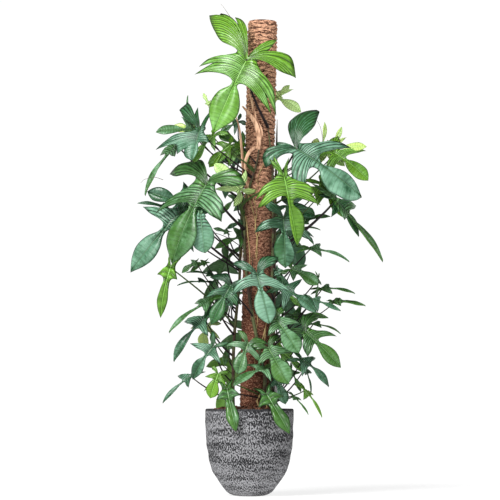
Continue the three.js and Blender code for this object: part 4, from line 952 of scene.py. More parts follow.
def half_margin(lobes, counts):
    """A half's margin as points, with the place of each lobe tip. Between corners it is a smooth curve through the
    listed points, and each lobe has its own number of points, shared out by length, so that corners are kept."""
    listed = [(0, 0, 0), *[p for lobe in lobes for p in lobe], (1, 0, 1)]
    spots = np.array([p[:2] for p in listed], float)
    corners = [i for i, p in enumerate(listed) if len(p) > 2]
    runs = [smooth_curve(spots[a:b + 1], MARGIN_STEPS)[:-1] for a, b in zip(corners, corners[1:])]
    curve = np.vstack([*runs, spots[-1:]])
    length = np.concatenate([[0], np.cumsum(np.linalg.norm(np.diff(curve, axis=0), axis=1))])
    ends = np.cumsum([0, len(lobes[0]), len(lobes[1]), len(lobes[2]) + 1])
    chosen = [np.array([0.0])]
    for a, b, count in zip(ends, ends[1:], counts):
        stops = [a, *[c for c in corners if a < c < b], b]
        at = length[np.array(stops) * MARGIN_STEPS]
        share = np.diff(at) / (at[-1] - at[0]) * count
        number = np.maximum(np.floor(share), 2).astype(int)
        number[np.argmax(share)] += count - number.sum()
        chosen += [np.linspace(low, high, n + 1)[1:] for low, high, n in zip(at, at[1:], number)]
    chosen = np.concatenate(chosen)
    margin = np.stack([np.interp(chosen, length, curve[:, i]) for i in (0, 1)], axis=-1)
    tips = [int(np.argmin(np.abs(chosen - length[i * MARGIN_STEPS]))) for i in corners if i and listed[i][2]]
    return margin, tips


def blade_grid(kind):
    """Rays of a flat blade. Ray k runs from the midrib to margin point k; its foot creeps from the junction to the
    neck through the back and side lobes, then on to the tip. Returns along and across values [half, ray, ring], the
    vein count on each ray, the distance in veins to the nearest lobe vein, and the ray's place on the midrib."""
    back, side, end = kind["counts"]
    neck = kind["neck"]
    feet = np.concatenate([
        CREEP * np.linspace(0, 1, back + 1) ** 2,
        np.linspace(CREEP, neck, side + 1)[1:],
        np.linspace(neck, 1, end + 1)[1:],
    ])
    rings = (np.arange(kind["rings"] + 1) / kind["rings"]) ** RING_POWER
    u, v, veins, lobes = [], [], [], []
    for half, sign in (("right", 1), ("left", -1)):
        margin, tips = half_margin(kind[half], kind["counts"])
        u.append(feet[:, None] + rings[None] * (margin[:, :1] - feet[:, None]))
        v.append(sign * rings[None] * margin[:, 1:])
        middle = np.stack([feet + 0.6 * (margin[:, 0] - feet), 0.6 * margin[:, 1]], axis=-1)
        run = np.concatenate([[0], np.cumsum(np.linalg.norm(np.diff(middle, axis=0), axis=1))])
        marks = np.round(run[[0, *tips]] / kind["veins"])
        marks = np.maximum.accumulate(marks + np.arange(len(marks)) * 1e-3).round()
        count = np.interp(run, run[[0, *tips]], marks)
        veins.append(count)
        lobes.append(np.abs(count[:, None] - marks[None, 1:]).min(1))
    return np.array(u), np.array(v), np.array(veins), np.array(lobes), feet


GRIDS = {name: blade_grid(kind) for name, kind in KINDS.items()}


def blade_ids(rays, rings):
    """Point numbers [half, ray, ring] of the upper and the lower face, and how many one face has. Both halves share
    the midrib, the first and last ray are one point each, and both faces share the margin."""
    last = rays - 1
    upper = np.empty((2, rays, rings), int)
    upper[:, :, 0] = np.arange(rays)
    upper[:, 1:last, 1:] = rays + np.arange(2 * (rays - 2) * (rings - 1)).reshape(2, rays - 2, rings - 1)
    upper[:, 0] = 0
    upper[:, last] = last
    count = rays + 2 * (rays - 2) * (rings - 1)
    lower = upper + count
    lower[:, :, -1] = upper[:, :, -1]
    lower[:, [0, last]] = upper[:, [0, last]]
    return upper, lower, count


def blade_faces(upper, lower, mirrored):
    """Three-sided faces of both sheets and halves, outwards, without those that have lost a side."""
    faces = []
    for sheet, side in ((upper, 1), (lower, -1)):
        for half, sign in ((0, 1), (1, -1)):
            g = sheet[half]
            quads = np.stack([g[:-1, :-1], g[1:, :-1], g[1:, 1:], g[:-1, 1:]], axis=-1).reshape(-1, 4)
            threes = np.vstack([quads[:, [0, 1, 2]], quads[:, [0, 2, 3]]])
            threes = threes[(threes != np.roll(threes, 1, axis=1)).all(1)]
            faces.append(threes if side * sign * mirrored > 0 else threes[:, ::-1])
    return np.vstack(faces)


def blade_weight(blade, kind, rays):
    """How light each ray is, partly the blade's own tone and partly painted light and shade: the blade's own weight,
    plus its lobe's, plus or less a little painted light for the half.
    """
    back, side, _ = kind["counts"]
    own = WEIGHTS.get(blade.node, 0.5 * (draw(blade.index, 5) - 0.5))
    by_lobe = np.interp(np.arange(rays), [0, 0.8 * back, back + 0.35 * side, back + side, rays], LOBE_WEIGHTS)
    by_half = np.array([HALF_WEIGHT, -HALF_WEIGHT]) * (1 if blade.index % 2 else -1)
    return (own + by_lobe)[None, :, None] + by_half[:, None, None]


def blade_shell(shell, blade, pleat):
    """Closed blade. Each face is the middle surface moved along its normal by half the thickness, thinning to the
    margin by a cube, and by dome and pleats. The dome is a half sine from midrib to margin less an exponential of the
    distance from the midrib. A pleat is (1 - cos(2 pi veins)) / 2 times a share of the distance between veins, and
    fades by a bell curve at the midrib, by a fifth power at the margin, over the end lobe, and where veins lie under
    3 mm apart. The lower face bulges along the midrib, and the upper one has a fine ridge there."""
    kind = KINDS[blade.kind]
    u, v, veins, lobes, feet = GRIDS[blade.kind]
    _, rays, rings = u.shape
    place = blade.point(u, v)
    normal = blade.normal(u, v)
    ring = (np.arange(rings) / (rings - 1)) ** RING_POWER
    ray_length = np.linalg.norm(place[:, :, -1] - place[:, :, 0], axis=-1)[..., None]
    rib = ring * ray_length
    step = np.linalg.norm(np.gradient(place, axis=1), axis=-1)
    gauge = step / np.maximum(np.gradient(veins, axis=1), 1e-3)[..., None]
    lobed = np.interp(feet, [kind["neck"], kind["neck"] + 0.2], [1, 0.15])[:, None]
    fade = (1 - np.exp(-(rib / PLEAT_START) ** 2)) * (1 - ring**5) * lobed * np.clip(gauge / 3, 0, 1)
    dome = blade.length * (DOME * np.sin(math.pi * ring) - VALLEY * np.exp(-rib / (2.5 * VALLEY * blade.length)))
    spacing = np.minimum(gauge, 1.2 * kind["veins"] * blade.length)
    raised = dome + pleat * spacing * (1 - np.cos(2 * math.pi * veins))[..., None] / 2 * fade
    half_thick = BLADE_THICKNESS / 2 * (1 - ring**3)
    rib_size = petiole_radius(blade) * PETIOLE_TIP_SHARE * (1 - feet * 0.9)[None, :, None]
    hump = np.exp(-(rib / np.maximum(rib_size, 0.3)) ** 2) * (1 - ring) * rib_size
    above = place + normal * (raised + half_thick + RIDGE_ABOVE * hump)[..., None]
    below = place + normal * (raised - half_thick - BULGE_BELOW * hump)[..., None]

    upper, lower, count = blade_ids(rays, rings)
    used, faces = np.unique(blade_faces(upper, lower, blade.width), return_inverse=True)

    def spread(above_values, below_values):
        out = np.zeros((2 * count, *above_values.shape[3:]))
        out[lower.ravel()] = below_values.reshape(-1, *above_values.shape[3:])
        out[upper.ravel()] = above_values.reshape(-1, *above_values.shape[3:])
        return out[used]

    def both(values):
        values = np.broadcast_to(values, u.shape)
        return spread(values, values)

    shell.add(
        spread(above, below), faces.reshape(-1, 3), veins=both(veins[..., None]), gauge=both(gauge),
        lobe=both(lobes[..., None] * gauge), rib=both(rib), edge=both((1 - ring) * ray_length),
        tipward=both(feet[None, :, None]), weight=both(blade_weight(blade, kind, rays)),
        under=spread(np.zeros(u.shape), np.ones(u.shape)), shade=draw(blade.index, 5),
    )


def all_blades():
    """Every blade in the frame's order, settled where its solid is, and after them the thin ones that have none."""
    rows = [*[(row, True) for row in LEAVES], *[(row, False) for row in SMALL_LEAVES]]
    rows += [(rear_leaf(i), i < REAR_LEAVES_APART) for i in range(REAR_LEAVES)]
    blades = []
    number = 0
    for index, (row, apart) in enumerate(rows):
        number += apart
        blade = Blade(row, index, f"leaf_{number:02d}" if apart else None)
        blade.settle(SOLIDS[blade.node or f"vine_{blade.stem}"])
        blades.append(blade)
    return blades + [Blade(row, index, extra=True) for index, row in enumerate(THIN_LEAVES, len(rows))]


SOLIDS = {name: solid_points(name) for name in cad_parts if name.startswith(("leaf_", "vine_"))}
BLADES = all_blades()


def scaled(colour, factor, extra=0):
    """A colour times a factor, or times one for each channel, plus a number or a colour, and never above 1."""
    return tuple(np.minimum(np.array(colour) * factor + extra, 1).tolist())


def leaf_finish(tone, colour, light, sheen_share, gloss):
    """Leaf: clouded green that turns vivid and then deep where its weight is low, and lit where it is high, partly
    the blade's own tone and partly painted light and shade. Over it lie painted highlights streaked along the veins
    and on the crests, a painted sheen where streaks, patches and clouds add up, and in each groove of the lobed part
    painted shade with a dark line, partly vein colour and partly painted shade. The midrib is light between two
    strips of painted shade, the lobe veins are light with a dark line along their middle, the margin is lit, the tip
    brown and the lower face pale."""
    finish = Finish(f"leaf {tone}")
    veins, gauge, rib, under, tipward, shade, lobe, weight, edge = map(finish.reading, LEAF_READINGS)
    off_groove = finish.maths("ABSOLUTE", finish.maths("FRACT", veins + 0.5) - 0.5)
    lobed = finish.step(tipward, 0.28, 0.48, 1, 0.12)
    apart = finish.step(gauge, 0.7, 2.6)
    # line is a dark vein line in each groove, partly vein colour and partly painted shade; hollow is painted shade in
    # the groove
    line = finish.step(off_groove * gauge, 0.3, 2.1, 1, 0) * (0.1 + 0.9 * lobed) * apart
    hollow = finish.step(off_groove, 0.0, 0.3, 1, 0) * lobed * apart
    # crest marks each pleat's crest for a painted highlight
    crest = finish.step(off_groove, 0.26, 0.5) * lobed * apart
    clouds = finish.noise(11)
    patches = finish.noise(24, 3, 0.6)
    # Streaks along the veins, laid on as painted highlights and in the painted sheen
    along_veins = finish.add("ShaderNodeCombineXYZ", {}, {"X": veins * 2.2, "Y": rib * 0.035, "Z": shade * 9})
    streaks = (finish.noise(1, 3, 0.6, along_veins) - 0.5) * (0.3 + 0.7 * lobed) + 0.5
    # Painted sheen: where streaks, patches, clouds and weight add up, a whitish sheen colour is laid on
    sheen_mask = streaks * 0.5 + patches * 0.5 + clouds * 0.3 + 0.16 * weight
    across = rib / (2.3 - 1.5 * tipward)
    body = finish.layers(
        colour["deep"],
        (finish.step(clouds * 0.6 + patches * 0.4, 0.32, 0.6), colour["full"]),
        # By the weight: vivid and deep tones where it is low and painted light where it is high, partly tone and
        # partly painted light and shade
        (finish.step(weight, -0.4, 0, 0.8, 0), colour["vivid"]),
        (finish.step(weight, -1.1, -0.5, 0.85, 0), colour["deep"]),
        (finish.step(weight, 0, 1, 0, 0.4), colour["lit"]),
        # Painted highlights: lit streaks along the veins and lit crests
        (finish.step(streaks, 0.42, 0.72, 0, 0.85) * apart, colour["lit"]),
        (crest * 0.6, colour["lit"]),
        # Painted sheen
        (finish.step(sheen_mask, 0.57, 0.88, 0, sheen_share), colour["painted_sheen"]),
        # Painted shade in the grooves, and the dark vein line
        (hollow * 0.85, colour["deep"]),
        (line * 0.95, colour["line"]),
        # Painted shade in a strip on each side of the light midrib
        (finish.step(across, 0.9, 3.0, 0.6, 0), colour["deep"]),
        (finish.step(across, 0.45, 1.0, light, 0), colour["rib"]),
        (finish.step(lobe, 0.5, 1.5, 0.7 * light, 0) * (0.2 + 0.8 * apart), colour["rib"]),
        (finish.step(lobe, 0.15, 0.7, 0.7, 0), colour["line"]),
        (finish.step(edge, 0.2, 1.2, 0.5, 0), colour["lit"]),
        (finish.step(tipward + 0.012 * shade, 0.97, 0.99, 0, 0.8), colour["tip"]),
        (under * 0.75, colour["under"]),
    )
    normal = finish.bump(finish.noise(20, 1) - 0.1 * line, 0.006, 0.45)
    rough = finish.step(clouds, 0.3, 0.7, gloss - 0.04, gloss + 0.08) + 0.2 * under
    return finish.close({"Specular IOR Level": 0.45}, colour=body, roughness=rough, normal=normal)


def tone_colours(base):
    """All the colours of a tone, from its one driving colour."""
    return {
        "line": scaled(base, 0.12),
        # deep is the darker tone, also laid on as painted shade
        "deep": scaled(base, (0.36, 0.42, 0.3)),
        "full": scaled(base, (1, 1.06, 0.92)),
        "vivid": scaled(base, 1 + (1 - max(base)) * np.array([0.4, 0.22, -0.7])),
        # lit is a lighter copy for painted light, and the next a whitish one for painted sheen
        "lit": scaled(base, 1.6, 0.02),
        "painted_sheen": scaled(base, 1.1, (0.2, 0.3, 0.24)),
        "rib": scaled(base, 1.4, (0.12, 0.18, 0.08)),
        "under": scaled(base, 1.2, (0.05, 0.08, 0.045)),
        "tip": (0.05, 0.025, 0.012),
    }


def stalk_finish(name, colour, tip_colour):
    """Stalk: dark towards the stem, greener towards the blade, with fine pale streaks."""
    finish = Finish(name)
    streaks = finish.noise(60, 3, where=finish.place((1, 1, 0.2)))
    body = finish.layers(
        colour,
        (finish.step(finish.reading("share") + 0.25 * streaks, 0.85, 1.15), tip_colour),
        (finish.step(streaks, 0.5, 0.8, 0, 0.35), scaled(colour, 2.2, 0.01)),
    )
    constants = {"Roughness": 0.42, "Specular IOR Level": 0.25}
    return finish.close(constants, colour=body, normal=finish.bump(streaks, 0.001, 0.3))


def stem_finish(colour):
    """Climbing stem: olive bark with brown patches and paler rings."""
    finish = Finish("climbing stem")
    patches = finish.noise(28, 4)
    rings = finish.noise(40, 3, where=finish.place((0.3, 0.3, 3)))
    body = finish.layers(
        colour,
        (finish.step(patches, 0.4, 0.62), (0.06, 0.028, 0.018)),
        (finish.step(rings, 0.55, 0.75, 0, 0.5), (0.2, 0.17, 0.08)),
    )
    return finish.close({"Roughness": 0.6}, colour=body, normal=finish.bump(patches + rings, 0.0015, 0.5))


def root_finish(name, colour):
    """Root or sheath: pale, streaked lengthwise with darker fibres."""
    finish = Finish(name)
    streaks = finish.noise(120, 4, where=finish.place((1, 1, 0.12)))
    dark = scaled(colour, (0.42, 0.33, 0.3))
    body = finish.layers(
        colour,
        (finish.step(streaks, 0.42, 0.66), dark),
        (finish.step(finish.noise(22), 0.5, 0.75, 0, 0.6), dark),
    )
    return finish.close({"Roughness": 0.75}, colour=body, normal=finish.bump(streaks, 0.0015, 0.6))


def coir_finish(light, dark):
    """Coir: lighter at the top, partly dry fibre and partly painted light, and damp red brown below. Strands come out
    of a dark ground, with bright and dark short fibres, small holes darkened with painted shade, and a painted shadow
    in the hollows between the turns, which is stronger in the lit upper part."""
    finish = Finish("coir")
    height = finish.add("ShaderNodeSeparateXYZ", {}, {"Vector": finish.place()}, output="Z")
    strands = finish.noise(150, 4, 0.65, finish.place((0.5, 0.5, 1.5)))
    fine = finish.noise(300, 3, 0.7, finish.place((0.6, 0.6, 1.5)))
    holes = finish.noise(95, 3, 0.6, finish.place((0.7, 0.7, 1)))
    # Lighter towards the top: partly dry fibre and partly painted light on the pole's upper part
    dry_and_lit = finish.step(height + 0.3 * finish.noise(22), 0.7, 1.55)
    damp = scaled(light, (0.08, 0.055, 0.055), tuple(dark))
    # Painted shadow in the gaps between the turns, stronger where the top is lit
    hollows = finish.step(finish.reading("hollow") + 0.5 * strands, 0.4, 1.0, 0.9, 0)
    body = finish.layers(
        scaled(dark, 0.6),
        # Strands and fine fibres turn lighter towards the top, partly painted light
        (finish.step(strands, 0.4, 0.54), finish.mix(dry_and_lit, damp, scaled(light, 0.95))),
        (finish.step(fine, 0.5, 0.68, 0, 0.9), finish.mix(dry_and_lit, light, scaled(light, 1.4))),
        (finish.step(fine, 0.3, 0.46, 0.8, 0), dark),
        # Small holes, darkened as painted shade
        (finish.step(holes, 0.3, 0.44, 0.8, 0), dark),
        # Painted shadow in the hollows
        (hollows * (0.12 + 0.8 * dry_and_lit), scaled(dark, 0.3)),
    )
    constants = {"Roughness": 0.95, "Specular IOR Level": 0.15}
    return finish.close(constants, colour=body, normal=finish.bump(strands + 0.5 * fine, 0.003, 0.8))


def soil_finish():
    """Potting mix: near black crumbs with brown fibre."""
    finish = Finish("potting mix")
    crumbs = finish.noise(110, 5, 0.7)
    body = finish.mix(finish.step(crumbs, 0.35, 0.7), (0.014, 0.008, 0.006), (0.12, 0.055, 0.03))
    return finish.close({"Roughness": 0.95}, colour=body, normal=finish.bump(crumbs, 0.006, 0.9))


def bark_finish():
    """Bark chips: red brown with pale grain."""
    finish = Finish("bark chips")
    grain = finish.noise(140, 4, 0.6, finish.place((1, 0.4, 1)))
    body = finish.layers(
        (0.1, 0.035, 0.02),
        (finish.step(grain, 0.38, 0.66), (0.36, 0.17, 0.09)),
        (finish.step(finish.noise(38, 2), 0.45, 0.6, 0, 0.6), (0.055, 0.02, 0.014)),
    )
    return finish.close({"Roughness": 0.85}, colour=body, normal=finish.bump(grain, 0.003, 0.6))


def pot_finish(light, dark, relief):
    """Chiselled pot: small slanting chips, light on a dark ground, in flat bands that hold more or fewer of them, and
    paler towards the foot, which is painted light. Over them lie fine pale and dark specks, a few pale scratches and
    painted shade along the lip."""
    finish = Finish("chiselled pot")
    where = finish.add("ShaderNodeTexCoord", output="UV")
    chips = finish.noise(235, 2, 0.6, finish.stretch(where, (1, 0.55, 1), 38))
    fine = finish.noise(620, 2, 0.6, where)
    bands = finish.noise(42, 3, 0.6, finish.stretch(where, (0.1, 1, 1)))
    patches = finish.noise(10, 3, 0.5, where)
    scratches = finish.noise(90, 2, 0.5, finish.stretch(where, (0.25, 1, 1), -24))
    up = finish.add("ShaderNodeSeparateXYZ", {}, {"Vector": where}, output="Y")
    # Painted light from below: paler chips, and more of them, towards the foot
    foot = finish.step(up + 0.02 * patches, -0.02, 0.14, 1, 0)
    tone = finish.step(bands * 0.7 + patches * 0.3, 0.38, 0.58, -0.075, 0.02) + 0.02 * foot
    cover = finish.step(chips + tone, 0.46, 0.52)
    body = finish.layers(
        dark,
        (cover, finish.mix(foot * 0.7, light, scaled(light, 1.7))),
        (finish.step(fine, 0.45, 0.66, 0, 0.6) * cover, scaled(light, 1.8)),
        (finish.step(fine, 0.34, 0.46, 0.7, 0), dark),
        (finish.step(scratches, 0.68, 0.76, 0, 0.6), scaled(light, 1.9)),
        # Painted shade along the lip
        (finish.step(up, 0.2825, 0.2865, 0, 0.85), dark),
    )
    rough = finish.step(fine, 0.3, 0.7, 0.7, 0.9)
    normal = finish.bump(cover + 0.4 * fine, relief, 0.8)
    return finish.close({"Specular IOR Level": 0.3}, colour=body, roughness=rough, normal=normal)


def wood_finish():
    """Stake: pale straight-grained wood."""
    finish = Finish("stake")
    grain = finish.noise(60, 4, 0.6, finish.place((1, 1, 0.06)))
    body = finish.mix(grain, (0.3, 0.19, 0.1), (0.5, 0.36, 0.2))
    return finish.close({"Roughness": 0.7}, colour=body, normal=finish.bump(grain, 0.001, 0.4))


class PlantOperator:
    bl_options = {"REGISTER", "UNDO"}


class PLANT_OT_pot(PlantOperator, Operator):
    """Make the chiselled pot"""
    bl_idname = "plant.pot"
    bl_label = "Pot"

    def execute(self, context):
        settings = context.scene.plant_pot
        outer = smooth_curve(POT_OUTER[1:], 8)
        inner = smooth_curve(POT_INNER[:-1], 6)
        profile = np.vstack([POT_OUTER[:1], outer, inner, POT_INNER[-1:]])

        def swell(turn, radius, height):
            """Chiselled unevenness: soft noise round the wall, fading to none at foot and rim, and none inside."""
            hold = np.clip(height / 40, 0, 1) * np.clip((287 - height) / 12, 0, 1)
            outside = np.arange(len(radius))[:, None] < len(outer)
            return 0.9 * ripple(3, turn, height, 24, 290) * hold * outside

        points, faces = turned(profile, POT_SIDES, swell)
        shell = Shell()
        shell.add(points, *faces)
        finish = pot_finish(settings.light, settings.dark, settings.relief)
        piece = shell.build("chiselled_pot", [finish], "pot", "pot")
        wrap_round(piece, 0.148)
        return {"FINISHED"}


def wrap_round(piece, radius):
    """UV map in metres: along = turn about Z times the radius, up = the run of height and radius together.
    A face that spans the seam has its low corners moved on by a whole turn."""
    mesh = piece.data
    corners = np.zeros(len(mesh.vertices) * 3)
    mesh.vertices.foreach_get("co", corners)
    corners = corners.reshape(-1, 3)
    loops = np.zeros(len(mesh.loops), int)
    mesh.loops.foreach_get("vertex_index", loops)
    starts = np.zeros(len(mesh.polygons), int)
    mesh.polygons.foreach_get("loop_start", starts)
    face_of = np.searchsorted(starts, np.arange(len(loops)), side="right") - 1
    turn = np.arctan2(corners[:, 1], corners[:, 0])[loops]
    highest = np.full(len(starts), -np.inf)
    np.maximum.at(highest, face_of, turn)
    turn = np.where(highest[face_of] - turn > math.pi, turn + 2 * math.pi, turn)
    around = np.hypot(corners[:, 0], corners[:, 1])[loops]
    up = corners[loops, 2] + 0.7 * (around - radius)
    layer = mesh.uv_layers.new(name="wrap")
    layer.data.foreach_set("uv", np.stack([turn * radius, up], axis=-1).ravel())


class PLANT_OT_soil(PlantOperator, Operator):
    """Make the potting mix and its bark chips"""
    bl_idname = "plant.soil"
    bl_label = "Soil"

    def execute(self, context):
        top = smooth_curve(SOIL_TOP, 14)
        points, faces = turned(np.vstack([top, SOIL_WALL])[::-1], SOIL_SIDES)
        turn = np.arctan2(points[:, 1], points[:, 0])
        radius = np.hypot(points[:, 0], points[:, 1])
        bumps = ripple(5, turn, radius, 30, 120) * 1.8 * np.clip(radius / 30, 0, 1)
        points[:, 2] += np.where(points[:, 2] > 268, bumps, 0)
        shell = Shell()
        shell.add(points, *faces)
        shell.build("potting_mix", [soil_finish()], "soil", "soil")

        rng = np.random.default_rng(11)
        chips = Shell()
        turn = rng.uniform(0, 2 * math.pi, BARK_CHIPS)
        radius = 134 * np.sqrt(rng.uniform(0.16, 1, BARK_CHIPS))
        ground = np.interp(radius, top[:, 0], top[:, 1])
        for spot in np.stack([radius * np.cos(turn), radius * np.sin(turn), ground + 1.5], axis=-1):
            body, chip_faces = bark_chip(rng)
            chips.add(body + spot, *chip_faces)
        chips.build("bark_chips", [bark_finish()], "soil")
        return {"FINISHED"}


def bark_chip(rng):
    """Chip: a ball of 5 rings by 8 sides, squared off by a power of its sines, stretched, roughened and turned."""
    sides, rings = 8, 5
    rise = np.linspace(-1, 1, rings + 2)[1:-1, None] * math.pi / 2
    turn = np.arange(sides)[None] * 2 * math.pi / sides
    size = rng.uniform((4.5, 2.8, 1.2), (10, 5.5, 2.6))

    def square(value):
        return np.sign(value) * np.abs(value) ** 0.6

    ball = np.cos(rise) * np.cos(turn), np.cos(rise) * np.sin(turn), np.sin(rise) + 0 * turn
    shape = np.stack([square(part) for part in ball], axis=-1).reshape(-1, 3)
    shape = np.vstack([shape, [[0, 0, -1], [0, 0, 1]]]) * size * rng.uniform(0.82, 1.12, (rings * sides + 2, 1))
    tilt, roll, spin = rng.normal(0, 0.35), rng.normal(0, 0.35), rng.uniform(0, 2 * math.pi)
    faces = [
        grid_faces(rings, sides),
        cap_faces(rings * sides, 0, sides, True),
        cap_faces(rings * sides + 1, (rings - 1) * sides, sides, False),
    ]
    return shape @ turn_about(0, tilt) @ turn_about(1, roll) @ turn_about(2, spin), faces


def turn_about(axis, angle):
    """Matrix of a turn about one of the three axes."""
    matrix = np.eye(3)
    a, b = [i for i in range(3) if i != axis]
    matrix[a, a] = matrix[b, b] = math.cos(angle)
    matrix[a, b] = math.sin(angle)
    matrix[b, a] = -math.sin(angle)
    return matrix


def coir_radius(settings, turn, z):
    """Coir's surface at a turn and height, with how full its ridge is there: a round pole with soft lumps, and ridges
    of the absolute sine of height over pitch, shifted by soft noise and lower towards the foot."""
    pitch = settings.pitch / MM
    shift = 0.2 * ripple(21, turn, z, 16, 200) + 0.35 * np.sin(turn + 0.4)
    wave = np.abs(np.sin(math.pi * (z / pitch + shift)))
    lumps = 0.9 * ripple(22, turn, z, 26, 120) + 0.7 * ripple(23, 3 * turn, z, 20, 60)
    ridge = settings.ridge / MM * np.interp(z, [600, 1300], [0.4, 1])
    return COIR_RADIUS - 0.5 * ridge + ridge * wave**0.7 + lumps, wave


def loose_fibre(rng):
    """Path of a fibre that leaves the coir and bends back: its distance adds a part of a half sine to the pole's."""
    z = rng.uniform(FIBRES_LOWEST, COIR_END - 4)
    spot = rng.uniform(0, 2 * math.pi)
    stand = rng.uniform(1.5, 7)
    swing = rng.uniform(-0.35, 0.35)
    rise = rng.uniform(-9, 9)
    t = np.linspace(0, 1, 5)
    angle = spot + swing * t
    away = COIR_RADIUS - 0.5 + stand * np.sin(math.pi * t * rng.uniform(0.5, 1.0))
    return lean_with_pole(np.stack([away * np.cos(angle), away * np.sin(angle), z + rise * t], axis=-1))


class PLANT_OT_coir(PlantOperator, Operator):
    """Make the coir pole with its loose fibres"""
    bl_idname = "plant.coir"
    bl_label = "Coir pole"

    def execute(self, context):
        settings = context.scene.plant_coir
        shoulder = COIR_END - COIR_SHOULDER
        rise = COIR_SHOULDER * np.sin(np.linspace(0.08, 1, 7) * math.pi / 2)
        heights = np.concatenate([np.arange(COIR_START, shoulder, COIR_STEP), shoulder + rise])
        round_off = np.sqrt(1 - (np.maximum(heights - shoulder, 0) / (COIR_SHOULDER + 0.5)) ** 2)
        turn = np.arange(COIR_SIDES) * 2 * math.pi / COIR_SIDES
        radius, wave = coir_radius(settings, turn[None], heights[:, None])
        radius = radius - 11 * (1 - round_off[:, None])
        radius = np.vstack([radius[:1] * 0.5, radius, radius[-1:] * 0.66, radius[-1:] * 0.33])
        wave = np.vstack([wave[:1], wave, np.ones((2, COIR_SIDES))])
        z = np.concatenate([heights[:1], heights, [COIR_END + 0.8, COIR_END + 1.0]])[:, None]
        rings = np.stack([radius * np.cos(turn), radius * np.sin(turn), z + 0 * radius], axis=-1)
        count = len(z) * COIR_SIDES
        points = np.vstack([rings.reshape(-1, 3), [[0, 0, z[0, 0]], [0, 0, z[-1, 0]]]])
        shell = Shell()
        # hollow carries how full the ridge is, which the finish turns into painted shadow in the gaps
        shell.add(
            lean_with_pole(points), grid_faces(len(z), COIR_SIDES), cap_faces(count, 0, COIR_SIDES, True),
            cap_faces(count + 1, count - COIR_SIDES, COIR_SIDES, False),
            hollow=np.concatenate([np.clip(wave * 1.4, 0, 1).ravel(), [1, 1]]),
        )
        finish = coir_finish(settings.light, settings.dark)
        shell.build("coir_wrap", [finish], "coir", "pole_coir")

        rng = np.random.default_rng(31)
        fibres = Shell()
        for _ in range(settings.fibres):
            body, fibre_faces = rod(loose_fibre(rng), rng.uniform(0.16, 0.34), 3)
            fibres.add(body, *fibre_faces, hollow=1)
        fibres.build("coir_fibres", [finish], "coir")
        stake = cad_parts["pole_stake"].data.materials
        stake.clear()
        stake.append(wood_finish())
        return {"FINISHED"}


class PLANT_OT_stems(PlantOperator, Operator):
    """Make the climbing stems with their leaf stalks"""
    bl_idname = "plant.stems"
    bl_label = "Stems and leaf stalks"

    def execute(self, context):
        settings = context.scene.plant_stem
        finishes = [
            stem_finish(settings.bark),
            stalk_finish("dark stalk", settings.petiole, (0.04, 0.05, 0.02)),
            stalk_finish("green stalk", (0.05, 0.085, 0.02), (0.1, 0.2, 0.04)),
        ]
        for stem, drawn in enumerate(STEM_PATHS, 1):
            shell = Shell()
            path = smooth_curve(drawn, 16)
            share = np.linspace(0, 1, len(path))
            body, faces = rod(path, self.stem_radii(path[:, 2], share), 12)
            shell.add(body, *faces, share=along_rod(len(path), 12, share))
            for blade in [blade for blade in BLADES if blade.stem == stem]:
                self.add_petiole(shell, blade)
            shell.build(f"stem_{stem}", finishes, "stem", f"vine_{stem}")
        return {"FINISHED"}

    def stem_radii(self, z, share):
        """Thinner evenly towards the top, a bell-shaped swelling at each joint, and a point at the very top."""
        joints = np.exp(-((np.mod(z, 52) - 26) / 3.2) ** 2)
        point = 1 - 0.8 * np.clip((share - 0.86) / 0.14, 0, 1) ** 2
        return STEM_RADIUS * (1 - (1 - STEM_TOP_SHARE) * share) * (1 + 0.12 * joints) * point

    def add_petiole(self, shell, blade):
        """A stalk that swells at its foot and a little under the blade, green where the blade is young or bright."""
        radius = petiole_radius(blade)
        bow = blade.bow if blade.extra else petiole_bow(blade, SOLIDS[f"vine_{blade.stem}"])
        path = petiole_path(blade, 0.2, bow, 26)
        t = np.linspace(0, 1, len(path))
        radii = (1.4 + 0.62 * radius) * (1 - (1 - PETIOLE_TIP_SHARE) * t)
        radii = radii * (1 + 0.25 * np.exp(-(t / 0.07) ** 2) + 0.2 * np.exp(-((t - 0.95) / 0.05) ** 2))
        sides = 10 if radius > 3 else 8
        body, faces = rod(path, radii, sides)
        green = blade.tone in ("pale", "bright") and blade.index > 0
        shell.add(body, *faces, finish=2 if green else 1, share=along_rod(len(path), sides, t))


def clasping_root(stem, height, drop, swing):
    """Path from a stem down the coir: the bearing runs by a quarter sine, the distance wobbles by a sine."""
    start = stem_point(stem, height)
    bearing = math.atan2(start[1], start[0] - pole_axis(height))
    t = np.linspace(0, 1, 24)[1:]
    turn = bearing + math.radians(swing) * np.sin(math.pi / 2 * t)
    return np.vstack([start, round_pole(turn, CLASP_DISTANCE + 0.8 * np.sin(9 * t + height), height - drop * t)])


def coir_root(first, top, last, bottom):
    """Path down the coir: bearing and height run evenly, and bearing and distance wobble by sines."""
    t = np.linspace(0, 1, 22)
    turn = np.radians(first + (last - first) * t + 5 * np.sin(7 * t + top))
    return round_pole(turn, COIR_ROOT_DISTANCE + 1.2 * np.sin(11 * t + bottom), top + (bottom - top) * t)


def round_pole(turn, distance, z):
    """Points at a turn and distance round the pole's axis."""
    return np.stack([pole_axis(z) + distance * np.cos(turn), distance * np.sin(turn), z], axis=-1)


def twig(i):
    """Path of a twig: outwards evenly, upwards by a parabola."""
    start = stem_point(TWIG_STEMS[i % len(TWIG_STEMS)], TWIG_LOWEST + TWIG_RISE * i)
    bearing = math.atan2(start[1], start[0] - pole_axis(start[2])) + 1.6 * (draw(i, 21) - 0.5)
    reach = 60 + 90 * draw(i, 22)
    t = np.linspace(0, 1, 14)
    rise = 0.9 * t - 0.5 * t**2 * (0.5 + draw(i, 23))
    return start + reach * np.stack([math.cos(bearing) * t, math.sin(bearing) * t, rise], axis=-1)


